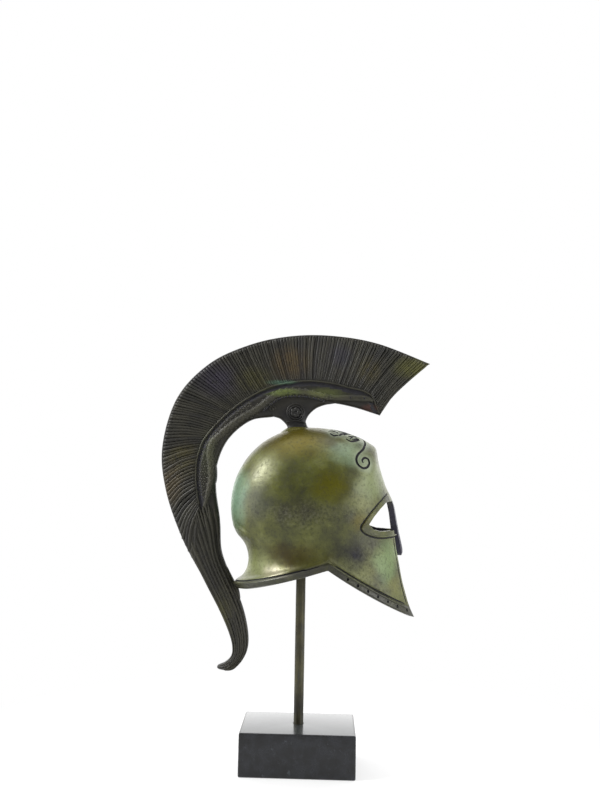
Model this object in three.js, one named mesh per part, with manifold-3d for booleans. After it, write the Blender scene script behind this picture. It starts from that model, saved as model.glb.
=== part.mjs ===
// A miniature crested bronze helmet of the Corinthian kind, cast for a desk or shelf, on a bronze rod
// that stands in a block of dark marble. Millimetres, +Z up. The origin is the middle of the block's
// underside, and +X is the way the helmet faces. Everything is the same on both sides of y = 0.
import * as THREE from "three";
import { mergeVertices } from "three/addons/utils/BufferGeometryUtils.js";
import Module from "manifold-3d";

const wasm = await Module();
wasm.setup();

// ---- Driving dimensions ----

const GAP = 0.3;
const THROUGH = 120; // long enough for a cutter to pass right through any piece

const BLOCK = { length: 60, depth: 40, height: 22, chamfer: 0.8 };

const ROD = { radius: 2.6, top: 176.2, seat: 12, sides: 24 };

// The smooth upper bowl, an egg with its blunt end at the back: how far it reaches from its middle, and
// the power of its outline, where 2 is an ellipse and more is fuller.
const BOWL = { x: 5.2, z: 134.5, front: 51.8, back: 44.4, side: 33, rise: 45.3, fall: 36, power: 2.12 };

// The lower body, from forehead and neck down, as [height, reach] pairs.
const BROW_LINE = [[76, 65], [86, 60.2], [98, 56.4], [110, 53.9], [122, 51.6], [131, 50.6], [138, 49.6],
  [143, 47.9], [149, 45.1], [156, 42.9], [164, 40.6], [172, 39.6]];
const NECK_LINE = [[76, -29], [103, -29], [109, -28.8], [115, -30.2], [119, -32.7], [121.5, -35.4],
  [124, -38.3], [129, -43.8], [136, -50], [172, -60]];
const FLANK_LINE = [[76, 30], [100, 31.2], [112, 31.6], [122, 32.1], [130, 32.8], [135, 33], [145, 33.9],
  [155, 36.9], [160, 40], [172, 50]];
const SECTION_POWER = [[76, 1.7], [110, 1.8], [130, 1.95], [140, 2], [172, 2]];

// The crease between bowl and body, as [degrees from the front, height] pairs: crisp at the peak over
// the forehead, fading along the side, and ending as a shoulder over the neck.
const CREASE_LINE = [[-15, 167.7], [0, 168.9], [15, 167.7], [24, 164.3], [32, 159.8], [41, 154.9],
  [59, 145.6], [73, 140.4], [92, 134.8], [110, 129.2], [137, 123.4], [160, 122.6], [180, 123],
  [200, 122.6]];
const CREASE_BLEND = 14;

// The flared rim, as [height above the lower edge, share of the flare] pairs.
const FLARE = { reach: 7.6, spread: 1.8 };
const FLARE_LINE = [[0, 0.66], [3.6, 1], [4.6, 0.86], [6.7, 0.45], [9, 0.2], [12, 0.04], [16, 0]];

// The lower edge seen from the side: the rim rises from the neck to a notch, and the cheek falls away
// from it to its point.
const NOTCH = { x: 14.5, z: 105.6 };
const RIM = { x: -33.8, z: 92.2, slope: 0.25, bend: 0.00055 };
const CHEEK = { slope: -0.66, bend: 0.0022 };

const WALL = 2.4;
const CROWN_BOSS = { x: -2.8, radius: 6.2, bottom: 177.6, top: 179.8, sides: 32 };

// The eye opening seen from the side, and the slit between the cheeks seen from the front.
const EYE = [[35.6, 129], [45, 139.6], [70, 139.6], [70, 126], [39, 125.6]];
const SLIT = { bottom: 70, top: 130, halfBottom: 6, halfTop: 8.2 };

// The nose guard that hangs between the eyes, seen from the side, front edge then back edge.
const NASAL_WIDTH = 5.4;
const NASAL_FRONT = [[46.4, 145], [48.6, 141], [50.9, 132.6], [52.7, 123], [54, 115.8]];
const NASAL_BACK = [[53.2, 112.2], [51.4, 112.4], [49.4, 123.8], [48.1, 131], [47.2, 138.6], [44.6, 144]];

// The crest, station by station from its front tip to the curl of its tail: the outer edge, and the
// inner edge opposite.
const CREST_OUTER = [[69.4, 216.2], [40.5, 227.2], [14.9, 231.3], [-8.7, 230.7], [-31.4, 225.4],
  [-53.4, 214.5], [-70.6, 195.3], [-78, 168], [-75.1, 143.7], [-65.5, 118.6], [-53.7, 97.8],
  [-44.3, 80.9], [-38.4, 68.3], [-36.3, 60.5], [-37.2, 55.7], [-41.2, 52.2], [-44.6, 51.4]];
const CREST_INNER = [[42, 187.3], [26.5, 191.9], [12.5, 193.8], [-3, 191], [-15.5, 186],
  [-29.5, 183.3], [-41.5, 173], [-47.4, 159], [-47.6, 144.5], [-45, 128.5], [-43.7, 111.6],
  [-36.6, 95], [-31.1, 81.5], [-28, 67], [-28.9, 57.5], [-35, 49.6], [-43.8, 48.6]];

// The front edge of the hair, a hollow sweep from the band's lower corner out to the tip.
const CREST_FRONT = [[40.5, 185.6], [43.3, 190], [49.7, 199], [54, 204.6], [60.5, 210.3], [71, 217.5]];

// How thick the crest is at its outer edge, at the hair's foot and in the band below it, and where
// across the crest those lie.
const CREST = { stations: 44, outerHalf: 1.5, hairHalf: 2.7, bandHalf: 4, innerHalf: 3, hairFoot: 0.62,
  bandTop: 0.68, bandMiddle: 0.84 };

// The short stem that carries the crest, seen from the side, and its thickness.
const STEM = { half: 3.6, foot: 180.1 };
const STEM_REAR = [[-8.8, 180.1], [-9.7, 181.4], [-11.9, 183.6], [-16.7, 185.8], [-16, 190]];
const STEM_FRONT = [[8, 195], [12, 193.7], [6.7, 190.5], [2.3, 186], [1.3, 183.2], [3.2, 180.1]];

// How finely the helmet is faceted: meridians round it, rows up the body as shares of the way from the
// lower edge to the crease, and rows up the bowl.
const MERIDIANS = 48;
const BODY_ROWS = [0, 0.07, 0.15, 0.24, 0.36, 0.5, 0.65, 0.8, 0.9, 1];
const BOWL_ROWS = 9;

// ---- Helpers ----

// A smooth function through [input, value] pairs, level beyond its ends.
function through(pairs) {
  const last = pairs.length - 1;
  const slope = (i) => {
    const a = pairs[Math.max(0, i - 1)];
    const b = pairs[Math.min(last, i + 1)];
    return (b[1] - a[1]) / (b[0] - a[0]);
  };
  return (at) => {
    const x = Math.min(pairs[last][0], Math.max(pairs[0][0], at));
    let i = 0;
    while (i < last - 1 && x > pairs[i + 1][0]) i += 1;
    const span = pairs[i + 1][0] - pairs[i][0];
    const t = (x - pairs[i][0]) / span;
    const rise = pairs[i + 1][1] - pairs[i][1];
    const a = slope(i) * span - rise;
    const b = rise - slope(i + 1) * span;
    return pairs[i][1] + t * rise + t * (1 - t) * ((1 - t) * a + t * b);
  };
}

// A closed geometry as a solid that can be cut and joined.
function toSolid(geometry) {
  const plain = geometry.clone();
  plain.deleteAttribute("normal");
  plain.deleteAttribute("uv");
  const merged = mergeVertices(plain, 1e-4);
  return new wasm.Manifold(new wasm.Mesh({
    numProp: 3,
    vertProperties: new Float32Array(merged.attributes.position.array),
    triVerts: new Uint32Array(merged.index.array),
  }));
}

// A solid as a flat-shaded geometry.
function toGeometry(solid) {
  const mesh = solid.getMesh();
  const geometry = new THREE.BufferGeometry();
  geometry.setAttribute("position", new THREE.BufferAttribute(new Float32Array(mesh.vertProperties), 3));
  geometry.setIndex(Array.from(mesh.triVerts));
  const flat = geometry.toNonIndexed();
  flat.computeVertexNormals();
  return flat;
}

// A closed geometry from rows of points. Every row is a ring with the same number of points.
function fromRings(rings, firstPole, lastPole) {
  const count = rings[0].length;
  const points = rings.flat();
  const faces = [];
  const at = (row, i) => row * count + (i % count);
  for (let row = 0; row < rings.length - 1; row += 1) {
    for (let i = 0; i < count; i += 1) {
      faces.push(at(row, i), at(row, i + 1), at(row + 1, i + 1));
      faces.push(at(row, i), at(row + 1, i + 1), at(row + 1, i));
    }
  }
  points.push(firstPole, lastPole);
  for (let i = 0; i < count; i += 1) {
    faces.push(points.length - 2, at(0, i + 1), at(0, i));
    faces.push(points.length - 1, at(rings.length - 1, i), at(rings.length - 1, i + 1));
  }
  const geometry = new THREE.BufferGeometry();
  geometry.setAttribute("position", new THREE.Float32BufferAttribute(points.flat(), 3));
  geometry.setIndex(faces);
  return geometry;
}

// An outline in side view, [x, z] points in either order, as a plate centred on y = 0.
function sidePlate(outline, width) {
  const shape = new THREE.Shape(outline.map(([x, z]) => new THREE.Vector2(x, z)));
  const plate = new THREE.ExtrudeGeometry(shape, { depth: width, bevelEnabled: false });
  return plate.rotateX(Math.PI / 2).translate(0, width / 2, 0);
}

// Points along a smooth curve through a few given points, [x, z] each.
function smooth(points, divisions) {
  const curve = new THREE.SplineCurve(points.map(([x, z]) => new THREE.Vector2(x, z)));
  return curve.getPoints(divisions).map((p) => [p.x, p.y]);
}

function mesh(name, geometry, material) {
  const made = new THREE.Mesh(geometry, material);
  made.name = name;
  return made;
}

// ---- Stand ----

function makeBlock() {
  const { length, depth, height, chamfer } = BLOCK;
  const halfLength = length / 2 - chamfer;
  const halfDepth = depth / 2 - chamfer;
  const shape = new THREE.Shape();
  shape.moveTo(-halfLength, -halfDepth);
  shape.lineTo(halfLength, -halfDepth);
  shape.lineTo(halfLength, halfDepth);
  shape.lineTo(-halfLength, halfDepth);
  shape.closePath();
  const body = new THREE.ExtrudeGeometry(shape, {
    depth: height - 2 * chamfer,
    bevelThickness: chamfer,
    bevelSize: chamfer,
    bevelSegments: 1,
  }).translate(0, 0, chamfer);
  const holeDepth = ROD.seat + GAP;
  const hole = new THREE.CylinderGeometry(ROD.radius + GAP, ROD.radius + GAP, holeDepth + 2, ROD.sides)
    .rotateX(Math.PI / 2)
    .translate(0, 0, height - holeDepth + (holeDepth + 2) / 2);
  return toGeometry(toSolid(body).subtract(toSolid(hole)));
}

function makeRod() {
  const bottom = BLOCK.height - ROD.seat;
  return new THREE.CylinderGeometry(ROD.radius, ROD.radius, ROD.top - bottom, ROD.sides)
    .rotateX(Math.PI / 2)
    .translate(0, 0, (ROD.top + bottom) / 2);
}

// ---- Helmet ----

const browAt = through(BROW_LINE);
const neckAt = through(NECK_LINE);
const flankAt = through(FLANK_LINE);
const powerAt = through(SECTION_POWER);
const creaseAt = through(CREASE_LINE);
const flareAt = through(FLARE_LINE);

// Reach of an oval from its middle in one direction, given how far it goes forwards, back and sideways.
function oval(angle, front, back, side, power) {
  const along = Math.abs(Math.cos(angle)) / (Math.cos(angle) > 0 ? front : back);
  const across = Math.abs(Math.sin(angle)) / side;
  return (along ** power + across ** power) ** (-1 / power);
}

// How far the bowl has drawn in at a height, 1 at its widest and 0 at its top.
function bowlShare(z) {
  const share = Math.min(1, Math.abs(z - BOWL.z) / (z > BOWL.z ? BOWL.rise : BOWL.fall));
  return (1 - share ** BOWL.power) ** (1 / BOWL.power);
}

function bowlReach(angle, z) {
  return bowlShare(z) * oval(angle, BOWL.front, BOWL.back, BOWL.side, BOWL.power);
}

function plainBodyReach(angle, z) {
  return oval(angle, browAt(z) - BOWL.x, BOWL.x - neckAt(z), flankAt(z), powerAt(z));
}

// The body's reach, eased out or in below the crease so that it meets the bowl there.
function bodyReach(angle, z) {
  const crease = creaseHeight(angle);
  const miss = bowlReach(angle, crease) - plainBodyReach(angle, crease);
  const share = Math.max(0, 1 - Math.abs(crease - z) / CREASE_BLEND);
  return plainBodyReach(angle, z) + miss * share ** 2;
}

function edgeHeight(x) {
  const rim = RIM.z + RIM.slope * (x - RIM.x) + RIM.bend * (x - RIM.x) ** 2;
  const cheek = NOTCH.z + CHEEK.slope * (x - NOTCH.x) + CHEEK.bend * (x - NOTCH.x) ** 2;
  return Math.min(rim, cheek);
}

function creaseHeight(angle) {
  return creaseAt(THREE.MathUtils.radToDeg(Math.acos(Math.cos(angle))));
}

function pointAt(angle, reach, z) {
  return [BOWL.x + reach * Math.cos(angle), reach * Math.sin(angle), z];
}

// One meridian of the outside, from the lower edge up to the ring below the crown.
function meridian(angle) {
  const crease = creaseHeight(angle);
  const flare = FLARE.reach * ((1 - Math.cos(angle)) / 2) ** FLARE.spread;
  let edge = NOTCH.z;
  for (let i = 0; i < 20; i += 1) {
    edge = edgeHeight(BOWL.x + Math.cos(angle) * (bodyReach(angle, edge) + flare * flareAt(0)));
  }
  const points = BODY_ROWS.map((share) => {
    const z = edge + share * (crease - edge);
    return pointAt(angle, bodyReach(angle, z) + flare * flareAt(z - edge), z);
  });
  const start = Math.acos(bowlShare(crease)) * Math.sign(crease - BOWL.z);
  for (let row = 1; row < BOWL_ROWS; row += 1) {
    const turn = start + (Math.PI / 2 - start) * (row / BOWL_ROWS);
    const share = Math.cos(turn);
    const height = (1 - share ** BOWL.power) ** (1 / BOWL.power);
    const z = BOWL.z + height * (turn > 0 ? BOWL.rise : -BOWL.fall);
    points.push(pointAt(angle, share * oval(angle, BOWL.front, BOWL.back, BOWL.side, BOWL.power), z));
  }
  return points;
}

// The hollow shell: the outside, and the inside one wall within it, joined round the lower edge.
function makeShell() {
  const meridians = [];
  for (let i = 0; i < MERIDIANS; i += 1) meridians.push(meridian((i / MERIDIANS) * 2 * Math.PI));
  const rows = meridians[0].length;
  const outside = [];
  for (let row = 0; row < rows; row += 1) outside.push(meridians.map((points) => points[row]));
  const crown = [BOWL.x, 0, BOWL.z + BOWL.rise];
  const vector = (p) => new THREE.Vector3(...p);
  const inside = outside.map((ring, row) => ring.map((point, i) => {
    const along = vector(ring[(i + 1) % MERIDIANS]).sub(vector(ring[(i + MERIDIANS - 1) % MERIDIANS]));
    const above = row + 1 < rows ? outside[row + 1][i] : crown;
    const below = outside[Math.max(0, row - 1)][i];
    const normal = along.cross(vector(above).sub(vector(below)));
    if (row === 0) normal.z = 0;
    return vector(point).addScaledVector(normal.normalize(), -WALL).toArray();
  }));
  const innerCrown = [crown[0], crown[1], crown[2] - WALL];
  return toSolid(fromRings([...inside.reverse(), ...outside], innerCrown, crown));
}

function makeHelmet() {
  const slit = new THREE.Shape([
    new THREE.Vector2(-SLIT.halfBottom, SLIT.bottom),
    new THREE.Vector2(SLIT.halfBottom, SLIT.bottom),
    new THREE.Vector2(SLIT.halfTop, SLIT.top),
    new THREE.Vector2(-SLIT.halfTop, SLIT.top),
  ]);
  const slitCutter = new THREE.ExtrudeGeometry(slit, { depth: THROUGH, bevelEnabled: false })
    .rotateX(Math.PI / 2)
    .rotateZ(Math.PI / 2)
    .translate(BOWL.x, 0, 0);
  const nasal = sidePlate([...smooth(NASAL_FRONT, 8), ...smooth(NASAL_BACK, 10)], NASAL_WIDTH);
  const { x, radius, bottom, top, sides } = CROWN_BOSS;
  const boss = new THREE.CylinderGeometry(radius, radius + 1.5, top - bottom, sides)
    .rotateX(Math.PI / 2)
    .translate(x, 0, (top + bottom) / 2);
  const shell = makeShell()
    .subtract(toSolid(slitCutter))
    .subtract(toSolid(sidePlate(EYE, THROUGH)))
    .add(toSolid(nasal))
    .add(toSolid(boss));
  return toGeometry(shell);
}

// ---- Crest ----

// One slice across the crest, from its outer edge to its inner edge and back along the other side.
function crestSlice(outer, inner) {
  const across = (share, y) => [
    outer[0] + share * (inner[0] - outer[0]),
    y,
    outer[1] + share * (inner[1] - outer[1]),
  ];
  const half = [
    [0, CREST.outerHalf],
    [CREST.hairFoot, CREST.hairHalf],
    [CREST.bandTop, CREST.bandHalf],
    [CREST.bandMiddle, CREST.bandHalf],
    [1, CREST.innerHalf],
  ];
  const near = half.map(([share, y]) => across(share, -y));
  const far = half.map(([share, y]) => across(share, y)).reverse();
  return [...far.reverse(), ...near.reverse()];
}

function makeCrest() {
  const outer = smooth(CREST_OUTER, CREST.stations);
  const inner = smooth(CREST_INNER, CREST.stations);
  const slices = outer.map((point, i) => crestSlice(point, inner[i]));
  const middle = (i) => [(outer[i][0] + inner[i][0]) / 2, 0, (outer[i][1] + inner[i][1]) / 2];
  const plume = toSolid(fromRings(slices, middle(0), middle(CREST.stations)));
  const stem = sidePlate([...smooth(STEM_REAR, 8), ...smooth(STEM_FRONT, 10)], 2 * STEM.half);
  const beyond = sidePlate([...smooth(CREST_FRONT, 10), [90, 200]], THROUGH);
  return toGeometry(plume.subtract(toSolid(beyond)).add(toSolid(stem)));
}

// ---- Materials and assembly ----

const marble = new THREE.MeshStandardMaterial({ color: 0x2e3335, roughness: 0.25, metalness: 0 });
const rodBronze = new THREE.MeshStandardMaterial({ color: 0x4a4b34, roughness: 0.4, metalness: 0.8 });
const greenBronze = new THREE.MeshStandardMaterial({ color: 0x6f7648, roughness: 0.45, metalness: 0.7 });
const darkBronze = new THREE.MeshStandardMaterial({ color: 0x34362a, roughness: 0.5, metalness: 0.7 });

const part = new THREE.Group();
part.add(mesh("base_block", makeBlock(), marble));
part.add(mesh("support_rod", makeRod(), rodBronze));
part.add(mesh("helmet_shell", makeHelmet(), greenBronze));
part.add(mesh("crest", makeCrest(), darkBronze));

export default part;
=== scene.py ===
"""A miniature crested bronze helmet on a rod and a marble block, modelled for show.

Sizes are millimetres in the part's own frame, and become metres when a mesh is made. The helmet faces
+X, +Z is up, and everything is the same on both sides of y = 0.
"""

import logging
import math
from dataclasses import dataclass, field
from enum import Enum
from typing import Any, Iterable, Sequence

import bmesh
import bpy
import numpy as np
from mathutils import Matrix, Vector
from mathutils.bvhtree import BVHTree


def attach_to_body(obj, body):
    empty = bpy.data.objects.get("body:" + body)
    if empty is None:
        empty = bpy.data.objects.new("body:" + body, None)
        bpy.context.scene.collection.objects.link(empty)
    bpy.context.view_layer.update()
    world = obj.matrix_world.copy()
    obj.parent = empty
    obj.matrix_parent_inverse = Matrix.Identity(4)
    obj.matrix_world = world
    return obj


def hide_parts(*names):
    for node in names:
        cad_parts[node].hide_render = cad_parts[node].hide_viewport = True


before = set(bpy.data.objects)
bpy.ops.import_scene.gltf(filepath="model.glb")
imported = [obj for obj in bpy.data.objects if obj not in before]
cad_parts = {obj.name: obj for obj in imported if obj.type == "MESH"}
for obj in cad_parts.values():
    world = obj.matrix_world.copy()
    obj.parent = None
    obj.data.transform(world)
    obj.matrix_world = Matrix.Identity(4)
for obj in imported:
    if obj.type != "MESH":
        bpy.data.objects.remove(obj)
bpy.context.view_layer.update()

log = logging.getLogger("crested_helmet")

MM = 0.001
CRISP = math.radians(50)
CRISP_CUT = math.radians(38)
HANDS = (-1, 1)

Pairs = Sequence[Sequence[float]]
Array = np.ndarray
Lines = tuple[list[Array], list[Array]]
Piece = bpy.types.Object
Tree = bpy.types.NodeTree
Material = bpy.types.Material


# ---------------------------------------------------------------- curves and meshes


class Course:
    """A smooth function through [input, value] pairs, level beyond its ends."""

    def __init__(self, pairs: Pairs) -> None:
        """Keeps the pairs and the slope at each of them.

        Args:
            pairs: rising inputs, each with its value.
        """
        table = np.array(pairs, dtype=float)
        self.at = table[:, 0]
        self.value = table[:, 1]
        index = np.arange(len(table))
        low = np.maximum(index - 1, 0)
        high = np.minimum(index + 1, len(table) - 1)
        self.slope = (self.value[high] - self.value[low]) / (self.at[high] - self.at[low])

    def __call__(self, where: Any) -> Array:
        """The values at the given inputs.

        Args:
            where: a number or an array of inputs.

        Returns:
            An array of the same shape.
        """
        x = np.clip(where, self.at[0], self.at[-1])
        i = np.clip(np.searchsorted(self.at, x, side="left") - 1, 0, len(self.at) - 2)
        span = self.at[i + 1] - self.at[i]
        t = (x - self.at[i]) / span
        rise = self.value[i + 1] - self.value[i]
        leave = self.slope[i] * span - rise
        arrive = rise - self.slope[i + 1] * span
        return self.value[i] + t * rise + t * (1 - t) * ((1 - t) * leave + t * arrive)


def shaped(pairs: Pairs) -> Any:
    """A dataclass field that holds a Course."""
    return field(default_factory=lambda: Course(pairs))


def spline(points: Pairs, where: Any) -> Array:
    """Points on a smooth curve through given points.

    Args:
        points: the given points, each of two or three numbers.
        where: places on the curve, 0 at the first point and one more at each point after it.

    Returns:
        One row for each place.
    """
    given = np.array(points, dtype=float)
    last = len(given) - 1
    t = np.clip(np.atleast_1d(where).astype(float), 0, last)
    i = np.minimum(t.astype(int), last - 1)
    u = (t - i)[:, None]
    before = given[np.maximum(i - 1, 0)]
    start = given[i]
    end = given[i + 1]
    after = given[np.minimum(i + 2, last)]
    leave = (end - before) / 2
    arrive = (after - start) / 2
    cubic = 2 * start - 2 * end + leave + arrive
    square = -3 * start + 3 * end - 2 * leave - arrive
    return cubic * u**3 + square * u**2 + leave * u + start


def curve(points: Pairs, count: int) -> Array:
    """Evenly spaced points along a smooth curve through given points.

    Args:
        points: the given points.
        count: how many points to return.

    Returns:
        One row for each point.
    """
    dense = spline(points, np.linspace(0, len(points) - 1, max(200, count * 6)))
    steps = np.linalg.norm(np.diff(dense, axis=0), axis=1)
    run = np.concatenate([[0], np.cumsum(steps)])
    want = np.linspace(0, run[-1], count)
    return np.stack([np.interp(want, run, dense[:, k]) for k in range(dense.shape[1])], axis=1)


def ease(low: float, high: float, value: Array) -> Array:
    """A smooth step from 0 at low to 1 at high."""
    t = np.clip((value - low) / (high - low), 0, 1)
    return t * t * (3 - 2 * t)


def unit(rows: Array) -> Array:
    """Vectors brought to a length of one."""
    return rows / np.linalg.norm(rows, axis=-1, keepdims=True)


def beside(*columns: Any) -> Array:
    """Arrays and plain numbers set side by side, one row for each place."""
    return np.stack(np.broadcast_arrays(*columns), axis=-1).astype(float)


def tapered(count: int, places: Sequence[float], values: Sequence[float]) -> Array:
    """Values that change along a path of so many points, between places from 0 to 1."""
    return np.interp(np.linspace(0, 1, count), places, values)


def to_path(points: Array, path: Array) -> tuple[Array, Array, Array]:
    """Distances from points to a flat path.

    Args:
        points: rows of two numbers.
        path: the path's corners, rows of two numbers.

    Returns:
        The distance, positive to the path's right; how far along the path the nearest place is, from 0
        to 1; and whether that place lies within the path rather than at its end.
    """
    best = np.full(len(points), 1e9)
    side = np.zeros(len(points))
    share = np.zeros(len(points))
    lengths = np.linalg.norm(np.diff(path, axis=0), axis=1)
    run = np.concatenate([[0], np.cumsum(lengths)])
    for i in range(len(path) - 1):
        way = path[i + 1] - path[i]
        offset = points - path[i]
        t = np.clip(offset @ way / (way @ way), 0, 1)
        gap = offset - t[:, None] * way
        distance = np.hypot(gap[:, 0], gap[:, 1])
        cross = way[1] * offset[:, 0] - way[0] * offset[:, 1]
        nearer = distance < best
        best = np.where(nearer, distance, best)
        side = np.where(nearer, np.sign(cross), side)
        share = np.where(nearer, (run[i] + t * lengths[i]) / run[-1], share)
    return best * side, share, (share > 1e-6) & (share < 1 - 1e-6)


def ring_faces(rings: int, count: int) -> list[list[int]]:
    """Four-sided faces between rings of points that are stored ring by ring.

    Args:
        rings: how many rings there are.
        count: how many points a ring has.

    Returns:
        Four point numbers for each face.
    """
    row, column = np.meshgrid(np.arange(rings - 1), np.arange(count), indexing="ij")
    row, column = row.ravel(), column.ravel()
    after = (column + 1) % count
    low, high = row * count, (row + 1) * count
    return np.stack([low + column, low + after, high + after, high + column], axis=1).tolist()


def in_scene(name: str, data: Any) -> Piece:
    """An object of the given data, linked to the scene."""
    made = bpy.data.objects.new(name, data)
    bpy.context.scene.collection.objects.link(made)
    return made


def make_object(name: str, points: Array, faces: Iterable[Sequence[int]]) -> Piece:
    """A smooth-shaded mesh object at the origin.

    Args:
        name: the object's name.
        points: rows of x, y, z in millimetres.
        faces: point numbers of each face, anticlockwise from outside.

    Returns:
        The object, linked to the scene.
    """
    data = bpy.data.meshes.new(name)
    data.from_pydata((np.asarray(points) * MM).tolist(), [], [list(map(int, face)) for face in faces])
    data.validate()
    data.shade_smooth()
    data.set_sharp_from_angle(angle=CRISP)
    return in_scene(name, data)


def ring_stack(name: str, rings: Array, low: Sequence[float], high: Sequence[float]) -> Piece:
    """A closed piece of rings of points, drawn together to a point at each end.

    Args:
        name: the piece's name.
        rings: the rings, from the bottom, each anticlockwise from above.
        low: the point that closes the first ring.
        high: the point that closes the last ring.

    Returns:
        The piece.
    """
    count = rings.shape[1]
    points = np.concatenate([rings.reshape(-1, 3), [low], [high]])
    last = len(points) - 1
    top = last - 1 - count
    faces = ring_faces(len(rings), count)
    faces += [[last - 1, (i + 1) % count, i] for i in range(count)]
    faces += [[last, top + i, top + (i + 1) % count] for i in range(count)]
    return make_object(name, points, faces)


def turned(name: str, profile: Pairs, sides: int = 64) -> Piece:
    """A turned piece about the part's upright axis.

    Args:
        name: the piece's name.
        profile: height and radius of each ring, from the bottom, starting and ending on the axis.
        sides: how many facets go round.

    Returns:
        The closed piece.
    """
    angles = np.linspace(0, 2 * math.pi, sides, endpoint=False)
    rings = [beside(r * np.cos(angles), r * np.sin(angles), z) for z, r in profile[1:-1]]
    return ring_stack(name, np.array(rings), (0, 0, profile[0][0]), (0, 0, profile[-1][0]))


def mark(obj: Piece, name: str, values: Array) -> None:
    """Stores a number on each of a mesh's points."""
    layer = obj.data.attributes.new(name, "FLOAT", "POINT")
    layer.data.foreach_set("value", np.asarray(values).astype(np.float32))


def make_loose(name: str, points: Array, edges: Sequence[tuple[int, int]], reach: Array) -> Piece:
    """An object of loose points and edges for a node tree to work on.

    Args:
        name: the object's name.
        points: rows of x, y, z in millimetres.
        edges: the two point numbers of each edge.
        reach: the size at each point in millimetres, kept as the attribute "reach".

    Returns:
        The object, linked to the scene.
    """
    data = bpy.data.meshes.new(name)
    data.from_pydata((np.asarray(points) * MM).tolist(), edges, [])
    made = in_scene(name, data)
    mark(made, "reach", np.asarray(reach) * MM)
    return made


def make_paths(name: str, paths: Sequence[Array], reaches: Sequence[Array]) -> Piece:
    """An object of loose edges for a node tree to sweep along.

    Args:
        name: the object's name.
        paths: one array of points in millimetres for each path.
        reaches: the size at each point of each path.

    Returns:
        The object, with each path's number kept as the attribute "strand".
    """
    edges: list[tuple[int, int]] = []
    start = 0
    for path in paths:
        edges += [(start + i, start + i + 1) for i in range(len(path) - 1)]
        start += len(path)
    made = make_loose(name, np.concatenate(paths), edges, np.concatenate(reaches))
    mark(made, "strand", np.concatenate([np.full(len(path), i + 1.0) for i, path in enumerate(paths)]))
    return made


def make_seats(name: str, seats: Array, sizes: Array, turns: Array | None = None) -> Piece:
    """An object of loose points for a node tree to set bosses on.

    Args:
        name: the object's name.
        seats: rows of x, y, z in millimetres.
        sizes: the size at each point.
        turns: the turn at each point in radians, kept as the attribute "turn"; none if left out.

    Returns:
        The object, linked to the scene.
    """
    made = make_loose(name, seats, [], sizes)
    turn = made.data.attributes.new("turn", "FLOAT_VECTOR", "POINT")
    if turns is not None:
        turn.data.foreach_set("vector", np.asarray(turns).astype(np.float32).ravel())
    return made


def seated(path: Array, ground: BVHTree) -> Array:
    """A path in millimetres moved onto the nearest places of a surface."""
    found = [ground.find_nearest((point * MM).tolist())[0] for point in path]
    return np.array([list(place) for place in found]) / MM


def points_of(obj: Piece) -> Array:
    """A mesh's points in millimetres."""
    flat = np.zeros(len(obj.data.vertices) * 3, dtype=np.float32)
    obj.data.vertices.foreach_get("co", flat)
    return flat.reshape(-1, 3) / MM


def outward(obj: Piece) -> Piece:
    """Turns a closed piece's faces outwards and returns it."""
    work = bmesh.new()
    work.from_mesh(obj.data)
    bmesh.ops.recalc_face_normals(work, faces=work.faces)
    work.to_mesh(obj.data)
    work.free()
    return obj


def settle(obj: Piece) -> Piece:
    """Bakes an object's modifiers into a plain mesh, drops them, and returns the object."""
    bpy.context.view_layer.update()
    graph = bpy.context.evaluated_depsgraph_get()
    finished = bpy.data.meshes.new_from_object(
        obj.evaluated_get(graph), preserve_all_data_layers=True, depsgraph=graph
    )
    obj.modifiers.clear()
    obj.data = finished
    return obj


def merged(name: str, objects: Sequence[Piece]) -> Piece:
    """Joins finished objects into one.

    Args:
        name: the name of the whole.
        objects: the objects to join, of which the first stays.

    Returns:
        The joined object.
    """
    for obj in bpy.context.selected_objects:
        obj.select_set(False)
    for obj in objects:
        obj.select_set(True)
    bpy.context.view_layer.objects.active = objects[0]
    bpy.ops.object.join()
    objects[0].name = name
    objects[0].data.name = name
    objects[0].select_set(False)
    return objects[0]


def carve(obj: Piece, tools: Sequence[Piece]) -> Piece:
    """Cuts closed tools out of a closed piece.

    Args:
        obj: the piece.
        tools: the closed pieces to cut with, which are used up.

    Returns:
        The piece with its finished mesh.
    """
    for tool in tools:
        step = obj.modifiers.new(tool.name, "BOOLEAN")
        step.operation = "DIFFERENCE"
        step.solver = "MANIFOLD"
        step.material_mode = "TRANSFER"
        step.object = tool
    settle(obj)
    for tool in tools:
        bpy.data.objects.remove(tool, do_unlink=True)
    obj.data.set_sharp_from_angle(angle=CRISP_CUT)
    return obj


def attach(piece: Piece, node: str) -> None:
    """Ties a finished piece to the part.

    Args:
        piece: the piece, with its place in its mesh.
        node: the model's node that it stands for.
    """
    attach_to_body(piece, "root")
    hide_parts(node)
    log.info("%s: %d faces", piece.name, len(piece.data.polygons))


# ---------------------------------------------------------------- geometry node trees


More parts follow.
